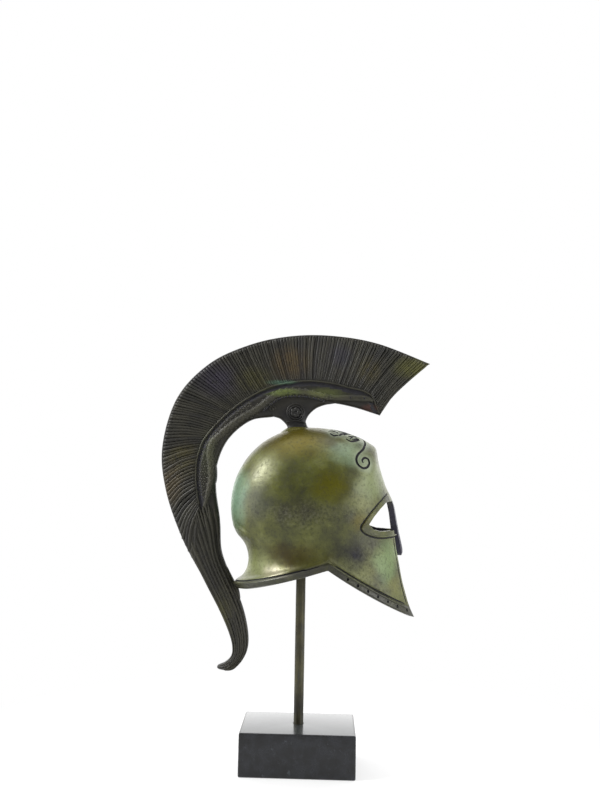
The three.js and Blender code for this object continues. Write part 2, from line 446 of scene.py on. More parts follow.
class GrowthTree:
    """A geometry node tree being put together."""

    def __init__(self, name: str, inputs: Sequence[tuple[str, str, Any]]) -> None:
        """Starts a tree.

        Args:
            name: the tree's name.
            inputs: name, socket type and default of each input after the geometry.
        """
        self.tree = bpy.data.node_groups.new(name, "GeometryNodeTree")
        self.tree.is_modifier = True
        face = self.tree.interface
        face.new_socket(name="Geometry", in_out="INPUT", socket_type="NodeSocketGeometry")
        for label, kind, default in inputs:
            socket = face.new_socket(name=label, in_out="INPUT", socket_type=kind)
            socket.default_value = default
        face.new_socket(name="Material", in_out="INPUT", socket_type="NodeSocketMaterial")
        face.new_socket(name="Geometry", in_out="OUTPUT", socket_type="NodeSocketGeometry")
        self.given = self.tree.nodes.new("NodeGroupInput")
        self.result = self.tree.nodes.new("NodeGroupOutput")

    def add(self, kind: str, settings: dict[str, Any], values: dict[Any, Any], output: Any = 0) -> Any:
        """Adds a node.

        Args:
            kind: the node's type.
            settings: its own settings, made before its sockets are touched.
            values: what goes into its sockets, by name or number, each a constant or another socket.
            output: which of its outputs to return.

        Returns:
            The chosen output socket.
        """
        node = self.tree.nodes.new(kind)
        for label, setting in settings.items():
            setattr(node, label, setting)
        for label, value in values.items():
            if isinstance(value, bpy.types.NodeSocket):
                self.tree.links.new(value, node.inputs[label])
            else:
                node.inputs[label].default_value = value
        return node.outputs[output]

    def input(self, label: str) -> Any:
        """The socket of one of the tree's inputs."""
        return self.given.outputs[label]

    def stored(self, name: str, kind: str = "FLOAT") -> Any:
        """What the points keep under a name."""
        return self.add("GeometryNodeInputNamedAttribute", {"data_type": kind}, {"Name": name}, "Attribute")

    def circle(self, sides: Any, radius: Any) -> Any:
        """A flat ring."""
        return self.add("GeometryNodeCurvePrimitiveCircle", {}, {"Resolution": sides, "Radius": radius})

    def ball(self, segments: int, rings: Any, radius: Any = 1.0) -> Any:
        """A ball."""
        sizes = {"Segments": segments, "Rings": rings, "Radius": radius}
        return self.add("GeometryNodeMeshUVSphere", {}, sizes, "Mesh")

    def scaled(self, vector: Any, size: Any) -> Any:
        """A vector made longer or shorter."""
        return self.add("ShaderNodeVectorMath", {"operation": "SCALE"}, {0: vector, "Scale": size})

    def set_out(self, points: Any, piece: Any, turn: Any, size: Any) -> Any:
        """A piece set on every point."""
        values = {"Points": points, "Instance": piece, "Rotation": turn, "Scale": size}
        return self.add("GeometryNodeInstanceOnPoints", {}, values)

    def finish(self, geometry: Any) -> Tree:
        """Ends the tree in real geometry with its material.

        Args:
            geometry: the socket that carries the made geometry.

        Returns:
            The finished tree.
        """
        smooth = self.add("GeometryNodeSetShadeSmooth", {}, {"Geometry": geometry})
        real = self.add("GeometryNodeRealizeInstances", {}, {"Geometry": smooth})
        finish = {"Geometry": real, "Material": self.input("Material")}
        dressed = self.add("GeometryNodeSetMaterial", {}, finish)
        self.tree.links.new(dressed, self.result.inputs[0])
        return self.tree


def sweep_tree() -> Tree:
    """A tree that sweeps a rounded strand along every path, thick by its reach.

    Returns:
        The tree, with an input for how many facets a strand has.
    """
    plan = GrowthTree("swept_strands", [("Sides", "NodeSocketInt", 8)])
    lines = plan.add("GeometryNodeMeshToCurve", {}, {"Mesh": plan.input("Geometry")})
    section = plan.circle(plan.input("Sides"), 1.0)
    values = {"Curve": lines, "Profile Curve": section, "Scale": plan.stored("reach"), "Fill Caps": True}
    return plan.finish(plan.add("GeometryNodeCurveToMesh", {}, values))


def bead_tree() -> Tree:
    """A tree that sets a small rounded boss on every point, as big as its reach.

    Returns:
        The tree, with inputs for the boss's proportions and fineness.
    """
    plan = GrowthTree(
        "set_bosses",
        [
            ("Rings", "NodeSocketInt", 5),
            ("Length", "NodeSocketFloat", 1.0),
            ("Height", "NodeSocketFloat", 1.0),
        ],
    )
    facing = plan.add("FunctionNodeEulerToRotation", {}, {"Euler": plan.stored("turn", "FLOAT_VECTOR")})
    shape = {"X": plan.input("Length"), "Y": plan.input("Height"), "Z": 1.0}
    size = plan.scaled(plan.add("ShaderNodeCombineXYZ", {}, shape), plan.stored("reach"))
    boss = plan.ball(8, plan.input("Rings"))
    return plan.finish(plan.set_out(plan.input("Geometry"), boss, facing, size))


def rosette_tree() -> Tree:
    """A tree that makes a small round flower with a ring of petals and two rims.

    Returns:
        The tree, with inputs for its radius, rim, petals and their size.
    """
    plan = GrowthTree(
        "rosette",
        [
            ("Rim radius", "NodeSocketFloat", 0.0046),
            ("Inner rim", "NodeSocketFloat", 0.0036),
            ("Rim thickness", "NodeSocketFloat", 0.0004),
            ("Petals", "NodeSocketInt", 5),
            ("Petal ring", "NodeSocketFloat", 0.0014),
            ("Petal size", "NodeSocketFloat", 0.0011),
            ("Heart", "NodeSocketFloat", 0.0006),
        ],
    )
    wire = plan.circle(8, plan.input("Rim thickness"))
    parts = []
    for label in ("Rim radius", "Inner rim"):
        rim = {"Curve": plan.circle(48, plan.input(label)), "Profile Curve": wire}
        parts.append(plan.add("GeometryNodeCurveToMesh", {}, rim))
    stands = plan.tree.nodes.new("GeometryNodeCurveToPoints")
    stands.mode = "EVALUATED"
    around = plan.circle(plan.input("Petals"), plan.input("Petal ring"))
    plan.tree.links.new(around, stands.inputs["Curve"])
    size = plan.scaled((0.85, 0.5, 1.0), plan.input("Petal size"))
    parts.append(plan.set_out(stands.outputs["Points"], plan.ball(12, 8), stands.outputs["Rotation"], size))
    parts.append(plan.ball(12, 8, plan.input("Heart")))
    joined = plan.tree.nodes.new("GeometryNodeJoinGeometry")
    for piece in parts:
        plan.tree.links.new(piece, joined.inputs[0])
    return plan.finish(joined.outputs[0])


def grow(obj: Piece, tree: Tree, values: dict[str, Any]) -> Piece:
    """Runs a node tree on an object and keeps the result as a plain mesh.

    Args:
        obj: the object that the tree works on.
        tree: the tree.
        values: the tree's inputs by name.

    Returns:
        The same object with its finished mesh.
    """
    step = obj.modifiers.new(tree.name, "NODES")
    step.node_group = tree
    names = {item.name: item.identifier for item in tree.interface.items_tree if item.in_out == "INPUT"}
    for label, value in values.items():
        step[names[label]] = value
    return settle(obj)


# ---------------------------------------------------------------- shader building


def paint(code: str) -> tuple[float, float, float, float]:
    """A colour from its six-figure code, in linear light."""
    parts = [int(code[i : i + 2], 16) / 255 for i in (0, 2, 4)]
    linear = [p / 12.92 if p <= 0.04045 else ((p + 0.055) / 1.055) ** 2.4 for p in parts]
    return (linear[0], linear[1], linear[2], 1.0)


class Reading:
    """A shader value on which arithmetic adds Math nodes."""

    def __init__(self, board: "ShaderBoard", socket: bpy.types.NodeSocket) -> None:
        """Wraps a socket of the board."""
        self.board = board
        self.socket = socket

    def _math(self, operation: str, first: Any, second: Any) -> "Reading":
        """A Math node on two values."""
        return self.board.add("ShaderNodeMath", {"operation": operation}, {0: first, 1: second})

    def __add__(self, other: Any) -> "Reading":
        """self + other."""
        return self._math("ADD", self, other)

    def __radd__(self, other: Any) -> "Reading":
        """other + self."""
        return self._math("ADD", other, self)

    def __sub__(self, other: Any) -> "Reading":
        """self - other."""
        return self._math("SUBTRACT", self, other)

    def __rsub__(self, other: Any) -> "Reading":
        """other - self."""
        return self._math("SUBTRACT", other, self)

    def __mul__(self, other: Any) -> "Reading":
        """self * other."""
        return self._math("MULTIPLY", self, other)

    def __rmul__(self, other: Any) -> "Reading":
        """other * self."""
        return self._math("MULTIPLY", other, self)


class Layer(Enum):
    """The ways one colour can lie over another."""

    COVER = "MIX"
    BRIGHTEN = "MULTIPLY"


class ShaderBoard:
    """The nodes of one material, with short ways to add to them."""

    patch_depth = 60

    def __init__(self, name: str) -> None:
        """Starts a material with an empty tree."""
        self.material = bpy.data.materials.new(name)
        self.material.use_nodes = True
        self.nodes = self.material.node_tree.nodes
        self.links = self.material.node_tree.links
        self.nodes.clear()
        self.place = self.add("ShaderNodeTexCoord", {}, {}, "Object")

    def add(self, kind: str, settings: dict[str, Any], values: dict[Any, Any], output: Any = 0) -> Reading:
        """Adds a node.

        Args:
            kind: the node's type.
            settings: its own settings, made first; "stops" sets a ramp's places and colours.
            values: what goes into its sockets, by name or number, each a constant or a reading.
            output: which of its outputs to return.

        Returns:
            The chosen output.
        """
        node = self.nodes.new(kind)
        for label, setting in settings.items():
            if label == "stops":
                ramp = node.color_ramp
                while len(ramp.elements) < len(setting):
                    ramp.elements.new(1.0)
                for element, (position, colour) in zip(ramp.elements, setting):
                    element.position = position
                    element.color = colour
            else:
                setattr(node, label, setting)
        for label, value in values.items():
            if isinstance(value, Reading):
                self.links.new(value.socket, node.inputs[label])
            else:
                node.inputs[label].default_value = value
        return Reading(self, node.outputs[output])

    def noise(self, scale: float, detail: float, roughness: float, place: Reading | None = None) -> Reading:
        """Cloudy noise from 0 to 1, scale in waves a metre."""
        values = {"Vector": place or self.place, "Scale": scale, "Detail": detail, "Roughness": roughness}
        return self.add("ShaderNodeTexNoise", {}, values)

    def between(self, value: Reading, low: float, high: float, start: float = 0, end: float = 1) -> Reading:
        """A smooth step of a value, from start at low to end at high."""
        values = {"Value": value, "From Min": low, "From Max": high, "To Min": start, "To Max": end}
        return self.add("ShaderNodeMapRange", {"interpolation_type": "SMOOTHSTEP"}, values)

    def blend(self, share: Any, first: Any, second: Any, how: Layer = Layer.COVER) -> Reading:
        """Two colours, given as readings or as six-figure codes, mixed by a share."""
        values = {0: share, 6: first, 7: second}
        values = {label: paint(value) if isinstance(value, str) else value for label, value in values.items()}
        return self.add("ShaderNodeMix", {"data_type": "RGBA", "blend_type": how.value}, values, 2)

    def vector(self, operation: str, first: Any, second: Any, output: Any = 0) -> Reading:
        """A Vector Math node on two vectors."""
        return self.add("ShaderNodeVectorMath", {"operation": operation}, {0: first, 1: second}, output)

    def stretched(self, size: tuple[float, float, float]) -> Reading:
        """The object's coordinates scaled along their axes."""
        return self.add("ShaderNodeMapping", {}, {"Vector": self.place, "Scale": size})

    def attribute(self, name: str) -> Reading:
        """A number stored on the mesh."""
        return self.add("ShaderNodeAttribute", {"attribute_name": name}, {}, "Fac")

    def patch(self, centre: Sequence[float], reach: Sequence[float], warped: Reading, soft: float) -> Reading:
        """A soft-edged patch, the same on both sides of the object.

        Args:
            centre: its middle, along and up, in millimetres.
            reach: how far it goes each way in millimetres.
            warped: the coordinates to read, in metres.
            soft: how much of it is taken by its fading edge.

        Returns:
            1 inside, 0 outside.
        """
        middle = (centre[0] * MM, 0.0, centre[1] * MM)
        shape = tuple(1 / (r * MM) for r in (reach[0], self.patch_depth, reach[1]))
        offset = self.vector("SUBTRACT", warped, middle)
        scaled = self.vector("MULTIPLY", offset, shape)
        distance = self.vector("LENGTH", scaled, (0, 0, 0), "Value")
        return self.between(distance, 1.0, 1.0 - soft)

    def bump(self, height: Reading, depth: float, strength: float) -> Reading:
        """A Bump node, with its depth in millimetres."""
        values = {"Strength": strength, "Distance": depth * MM, "Height": height}
        return self.add("ShaderNodeBump", {}, values)

    def end(self, surface: Reading) -> Material:
        """Ends the material in a shader and returns it."""
        end = self.nodes.new("ShaderNodeOutputMaterial")
        self.links.new(surface.socket, end.inputs["Surface"])
        return self.material

    def finish(self, **values: Any) -> Material:
        """Ends the material in one Principled shader.

        Args:
            values: its sockets, with underscores for the spaces in their names.

        Returns:
            The material.
        """
        sockets = {label.replace("_", " "): value for label, value in values.items()}
        return self.end(self.add("ShaderNodeBsdfPrincipled", {}, sockets))


@dataclass(frozen=True)
class Tint:
    """A soft patch of colour on a patina, or of painted highlight, and how much bare metal shows in it."""

    centre: tuple[float, float]
    reach: tuple[float, float]
    colour: str
    strength: float
    metal: float = 0.0


@dataclass(frozen=True)
class GreenPatina:
    """Cast bronze under a green and golden patina, rubbed bright in places, with a painted highlight on the
    flared rim.

    Waves are in a metre, and depths and shifts in millimetres.
    """

    name: str = "green_patina_bronze"
    deep: str = "323319"
    olive: str = "565923"
    light: str = "6f7248"
    speckle: str = "6f6e60"
    pit: str = "1e1d16"
    pale_grain: str = "8d9170"
    # pale edge round the engraving: partly worn high edges, partly painted highlight
    halo: str = "99a48c"
    rim: str = "24231e"
    # the nose guard's dark violet: partly patina, partly painted shade on its grazed side faces
    guard: str = "1f1c30"
    metal: float = 0.18
    drift_waves: float = 70.0
    drift: float = 14.0
    cloud_waves: float = 60.0
    mottle_waves: float = 420.0
    fine_waves: float = 640.0
    grain_waves: float = 1800.0
    edge_fade: float = 0.75
    band: tuple[Sequence[float], Sequence[float], float] = ((0, 134), (40, 13), 0.8)
    roughness: float = 0.3
    depth: float = 0.25
    tints: tuple[Tint, ...] = (
        Tint((-37, 142), (13, 26), "74937a", 0.75),
        Tint((-20, 106), (19, 12), "7d8450", 0.7),
        Tint((-3, 171), (25, 14), "5a5000", 0.97, 0.35),
        Tint((-20, 157), (12, 12), "6b6c40", 0.5),
        Tint((15, 148), (16, 13), "666200", 1.0, 0.4),
        Tint((36, 152), (13, 15), "788358", 0.8),
        Tint((24, 166), (13, 9), "7d9277", 0.75),
        Tint((45, 109), (9, 15), "6d8152", 0.9),
        Tint((50, 97), (7, 9), "6b6c38", 0.8),
        Tint((26, 114), (22, 14), "1b1926", 1.0, 0.6),
        Tint((2, 135), (31, 9), "3d3b30", 0.9, 0.2),
        Tint((-1, 112), (26, 11), "3a2c06", 0.97, 0.6),
        Tint((30, 131), (9, 8), "4f480c", 0.85, 0.35),
        Tint((-22, 140), (14, 14), "444740", 0.75, 0.3),
        Tint((42, 168), (5, 5), "79828c", 0.6),
        # pale patina at the curl, partly a painted highlight where the crease catches the light
        Tint((33, 161), (6, 6), "96a189", 0.45),
        # painted highlight: a pale patch where the flared rim catches the key lamp
        Tint((-11, 104.5), (10, 4.5), "b3aa92", 0.75),
    )

    def make(self) -> Material:
        """Builds the material.

        Returns:
            The finished material.
        """
        board = ShaderBoard(self.name)
        waves = {"Vector": board.place, "Scale": self.drift_waves, "Detail": 3.0}
        drift = board.add("ShaderNodeTexNoise", {}, waves, "Color")
        shift = board.vector("SCALE", board.vector("SUBTRACT", drift, (0.5, 0.5, 0.5)), (0, 0, 0))
        shift.socket.node.inputs["Scale"].default_value = self.drift * MM
        warped = board.vector("ADD", board.place, shift)
        cloud = board.noise(self.cloud_waves, 6, 0.6)
        mottle = board.noise(self.mottle_waves, 5, 0.62)
        fine = board.noise(self.fine_waves, 6, 0.7)
        grain = board.noise(self.grain_waves, 3, 0.6)
        colour = board.blend(board.between(cloud, 0.32, 0.68), self.deep, self.olive)
        colour = board.blend(board.between(cloud + mottle * 0.4, 0.72, 0.95) * 0.4, colour, self.light)
        metal: Any = self.metal
        for tint in self.tints:
            mask = board.patch(tint.centre, tint.reach, warped, self.edge_fade)
            broken = mask * board.between(mottle, 0.2, 0.6, 0.72, 1.0) * tint.strength
            colour = board.blend(broken, colour, tint.colour)
            if tint.metal:
                metal = metal + broken * tint.metal
        band = board.patch(*self.band[:2], warped, self.band[2])
        colour = board.blend(board.between(fine, 0.5, 0.62) * band * 0.55, colour, self.speckle)
        pits = board.between(fine, 0.49, 0.4)
        colour = board.blend(pits * (0.28 + band * 0.5), colour, self.pit)
        colour = board.blend(board.between(grain, 0.6, 0.8) * 0.16, colour, self.pale_grain)
        # pale edge round the engraving, partly wear and partly painted highlight
        colour = board.blend(board.attribute("halo") * 0.45, colour, self.halo)
        rim = board.attribute("rim")
        colour = board.blend(rim * board.between(mottle, 0.2, 0.6, 0.5, 0.85), colour, self.rim)
        # darkens the nose guard: partly patina, partly painted shade
        guard = board.attribute("guard")
        colour = board.blend(guard * board.between(mottle, 0.2, 0.6, 0.8, 1.0), colour, self.guard)
        height = mottle * 0.5 + fine * 0.25 + grain * 0.15 + cloud * 0.8
        return board.finish(
            Base_Color=colour,
            Metallic=metal,
            Roughness=self.roughness + mottle * 0.12 + pits * 0.15,
            Normal=board.bump(height, self.depth, 0.55),
        )


@dataclass(frozen=True)
class DarkPatina:
    """Cast bronze under a dark brown and black patina, greenish where it has worn."""

    name: str = "dark_patina_bronze"
    deep: str = "181714"
    middle: str = "28261e"
    worn: str = "4d4d3a"
    brightening: tuple[float, ...] = (2.6, 2.5, 2.3, 1.0)
    dark_lock: str = "0f0e0f"
    pit: str = "121210"
    pale_grain: str = "55564a"
    cloud_waves: float = 55.0
    mottle_waves: float = 380.0
    grain_waves: float = 1500.0
    lock_step: float = 0.31
    edge_fade: float = 0.8
    metal: float = 0.25
    roughness: float = 0.42
    depth: float = 0.2
    tints: tuple[Tint, ...] = (
        Tint((-48, 205), (17, 14), "262131", 0.85),
        Tint((20, 220), (9, 10), "1d1c2a", 0.8),
        Tint((-8, 216), (15, 13), "3d2f10", 0.85),
        Tint((60, 214), (16, 9), "47471a", 0.85),
        Tint((-28, 206), (15, 10), "363410", 0.7),
        Tint((36, 212), (9, 10), "3a3416", 0.7),
        Tint((-12, 199), (14, 3.4), "46531a", 0.9),
        Tint((-12, 204.5), (12, 2), "41604f", 0.7),
        Tint((12, 199), (16, 4), "4a5026", 0.8),
        Tint((-66, 162), (12, 15), "36310f", 0.75),
        Tint((-72, 148), (9, 16), "40341a", 0.7),
        Tint((36, 191), (7, 3), "3f2018", 0.8),
        Tint((-42, 78), (7, 16), "38371a", 0.7),
        Tint((-52, 165), (7, 18), "323522", 0.7),
        Tint((-4, 186.5), (16, 9), "0c0b10", 0.97),
    )

    def make(self) -> Material:
        """Builds the material.

        Returns:
            The finished material.
        """
        board = ShaderBoard(self.name)
        cloud = board.noise(self.cloud_waves, 5, 0.6)
        mottle = board.noise(self.mottle_waves, 5, 0.62)
        grain = board.noise(self.grain_waves, 3, 0.6)
        strand = board.attribute("strand")
        one_way = {"noise_dimensions": "1D"}
        lock = board.add("ShaderNodeTexNoise", one_way, {"W": strand * self.lock_step, "Scale": 1.0})
        single = board.add("ShaderNodeTexWhiteNoise", one_way, {"W": strand})
        colour = board.blend(board.between(cloud, 0.3, 0.7), self.deep, self.middle)
        for tint in self.tints:
            mask = board.patch(tint.centre, tint.reach, board.place, self.edge_fade)
            broken = mask * board.between(mottle, 0.25, 0.6, 0.55, 1.0) * tint.strength
            colour = board.blend(broken, colour, tint.colour)
        wear = board.attribute("wear") * (0.45 + board.between(lock, 0.35, 0.65) * 0.4 + single * 0.35)
        brighter = board.blend(1.0, colour, self.brightening, Layer.BRIGHTEN)
        rubbed = board.blend(0.55, self.worn, brighter)
        colour = board.blend(wear * board.between(mottle, 0.3, 0.65, 0.75, 1.0), colour, rubbed)
        colour = board.blend(board.between(lock, 0.48, 0.36) * 0.5, colour, self.dark_lock)
        colour = board.blend(board.between(mottle, 0.44, 0.34) * 0.5, colour, self.pit)
        colour = board.blend(board.between(grain, 0.62, 0.8) * 0.25, colour, self.pale_grain)
        return board.finish(
            Base_Color=colour,
            Metallic=self.metal,
            Roughness=self.roughness + mottle * 0.2,
            Normal=board.bump(mottle * 0.6 + grain * 0.3, self.depth, 0.6),
        )


@dataclass(frozen=True)
class Recess:
    """The blackened patina that stays at the bottom of engraved lines and inside the helmet."""

    name: str = "recess_patina"
    colour: str = "17171a"
    tint: str = "25242b"
    waves: float = 500.0
    metal: float = 0.3
    roughness: float = 0.55
    depth: float = 0.1

    def make(self) -> Material:
        """Builds the material.

        Returns:
            The finished material.
        """
        board = ShaderBoard(self.name)
        mottle = board.noise(self.waves, 4, 0.6)
        return board.finish(
            Base_Color=board.blend(board.between(mottle, 0.35, 0.7), self.colour, self.tint),
            Metallic=self.metal,
            Roughness=self.roughness + mottle * 0.2,
            Normal=board.bump(mottle, self.depth, 0.5),
        )


@dataclass(frozen=True)
class RodBronze:
    """A drawn bronze rod, darkened unevenly along its length."""

    name: str = "rod_bronze"
    dark: str = "2c2920"
    light: str = "4b4831"
    blue_streak: str = "363c42"
    dark_streak: str = "1a1712"
    streak_waves: tuple[float, float, float] = (900, 900, 90)
    cloud_waves: float = 45.0
    grain_waves: float = 2200.0
    metal: float = 0.5
    roughness: float = 0.34
    depth: float = 0.08

    def make(self) -> Material:
        """Builds the material.

        Returns:
            The finished material.
        """
        board = ShaderBoard(self.name)
        streak = board.noise(1.0, 5, 0.6, board.stretched(self.streak_waves))
        cloud = board.noise(self.cloud_waves, 4, 0.6)
        grain = board.noise(self.grain_waves, 3, 0.6)
        colour = board.blend(board.between(cloud, 0.35, 0.65), self.dark, self.light)
        colour = board.blend(board.between(streak, 0.5, 0.72) * 0.6, colour, self.blue_streak)
        colour = board.blend(board.between(streak, 0.45, 0.3) * 0.6, colour, self.dark_streak)
        return board.finish(
            Base_Color=colour,
            Metallic=self.metal,
            Roughness=self.roughness + streak * 0.2,
            Normal=board.bump(streak * 0.6 + grain * 0.4, self.depth, 0.6),
        )


@dataclass(frozen=True)
class PolishedMarble:
    """Near-black polished marble, faintly clouded, with fine pale flecks and a painted sheen on its top face.
    """

    name: str = "polished_marble"
    ground: str = "090a0d"
    cloud: str = "191b20"
    fleck: str = "3f444b"
    spot: str = "4d535a"
    # painted reflection: the colour that the top face is lightened towards
    sheen: str = "8a908d"
    cloud_waves: float = 190.0
    fleck_waves: float = 900.0
    spot_waves: float = 420.0
    roughness: float = 0.16
    specular: float = 0.33
    coat: float = 0.08
    coat_on_top: float = 0.4
    coat_roughness: float = 0.09
    depth: float = 0.04

    def make(self) -> Material:
        """Builds the material.

        Returns:
            The finished material.
        """
        board = ShaderBoard(self.name)
        cloud = board.noise(self.cloud_waves, 5, 0.62)
        fleck = board.noise(self.fleck_waves, 4, 0.7)
        spot = board.noise(self.spot_waves, 3, 0.55)
        top = board.attribute("top")
        colour = board.blend(board.between(cloud, 0.38, 0.62), self.ground, self.cloud)
        colour = board.blend(board.between(fleck, 0.56, 0.78) * 0.35, colour, self.fleck)
        colour = board.blend(board.between(spot, 0.66, 0.76) * 0.4, colour, self.spot)
        return board.finish(
            # the top face is painted lighter, a painted reflection of the bright surroundings
            Base_Color=board.blend(top * 0.12, colour, self.sheen),
            Roughness=self.roughness + fleck * 0.1,
            Specular_IOR_Level=self.specular,
            Coat_Weight=self.coat + top * self.coat_on_top,
            Coat_Roughness=self.coat_roughness,
            IOR=1.55,
            Normal=board.bump(fleck, self.depth, 0.4),
        )


@dataclass
class Workshop:
    """Every material and node tree of the object, made once."""

    green: Material = field(default_factory=lambda: GreenPatina().make())
    dark: Material = field(default_factory=lambda: DarkPatina().make())
    recess: Material = field(default_factory=lambda: Recess().make())
    rod: Material = field(default_factory=lambda: RodBronze().make())
    marble: Material = field(default_factory=lambda: PolishedMarble().make())
    sweep: Tree = field(default_factory=sweep_tree)
    boss: Tree = field(default_factory=bead_tree)
    flower: Tree = field(default_factory=rosette_tree)


# ---------------------------------------------------------------- stand


@dataclass
class MarbleStand:
    """The block and the rod that stands in it."""

    shop: Workshop
    length: float = 60.0
    depth: float = 40.0
    height: float = 22.0
    chamfer: float = 1.1
    rod_radius: float = 2.6
    rod_top: float = 176.2
    rod_seat: float = 12.0
    rod_easing: float = 0.5
    unevenness: float = 0.02
    hole_gap: float = 0.12
    hole_easing: float = 0.35
    seat_gap: float = 0.1
    crisp: float = math.radians(18)

    def build_block(self) -> Piece:
        """The block with eased edges and the hole that the rod stands in.

        Returns:
            The block.
        """
        work = bmesh.new()
        bmesh.ops.create_cube(work, size=1.0)
        size = Matrix.Diagonal((self.length * MM, self.depth * MM, self.height * MM, 1.0))
        raised = Matrix.Translation((0, 0, self.height * MM / 2)) @ size
        bmesh.ops.transform(work, matrix=raised, verts=work.verts)
        easing = {"offset": self.chamfer * MM, "segments": 3, "profile": 0.6, "affect": "EDGES"}
        bmesh.ops.bevel(work, geom=work.edges[:], **easing)
        data = bpy.data.meshes.new("marble_block")
        work.to_mesh(data)
        work.free()
        block = in_scene("marble_block", data)
        floor = self.height - self.rod_seat - self.seat_gap
        above = self.height + 2
        radius = self.rod_radius + self.hole_gap
        mouth = radius + self.hole_easing
        hole = turned(
            "rod_hole",
            [
                (floor, 0.0),
                (floor, radius),
                (self.height - self.hole_easing, radius),
                (self.height, mouth),
                (above, mouth),
                (above, 0.0),
            ],
        )
        carve(block, [hole])
        block.data.shade_smooth()
        block.data.set_sharp_from_angle(angle=self.crisp)
        # the top face, which gets a painted sheen and a stronger coat
        mark(block, "top", np.abs(points_of(block)[:, 2] - self.height) < 0.01)
        return block

    def build_rod(self) -> Piece:
        """The rod, with the slight unevenness of drawn bar and eased ends."""
        bottom = self.height - self.rod_seat
        end_radius = self.rod_radius - self.rod_easing
        heights = np.linspace(bottom + self.rod_easing, self.rod_top - self.rod_easing, 120)
        waver = np.sin(heights * 0.31) * np.sin(heights * 0.083 + 1)
        radii = self.rod_radius - self.unevenness + self.unevenness * waver
        ends = ((bottom, 0.0), (bottom, end_radius)), ((self.rod_top, end_radius), (self.rod_top, 0.0))
        return turned("rod", [*ends[0], *zip(heights, radii), *ends[1]])

    def dress(self, block: Piece, rod: Piece) -> None:
        """Gives both pieces their finish and ties them to the model.

        Args:
            block: the marble block.
            rod: the rod.
        """
        for piece, material, slot, node in (
            (block, self.shop.marble, "marble", "base_block"),
            (rod, self.shop.rod, "rod_bronze", "support_rod"),
        ):
            piece.data.materials.clear()
            piece.data.materials.append(material)
            attach(piece, node)


# ---------------------------------------------------------------- helmet


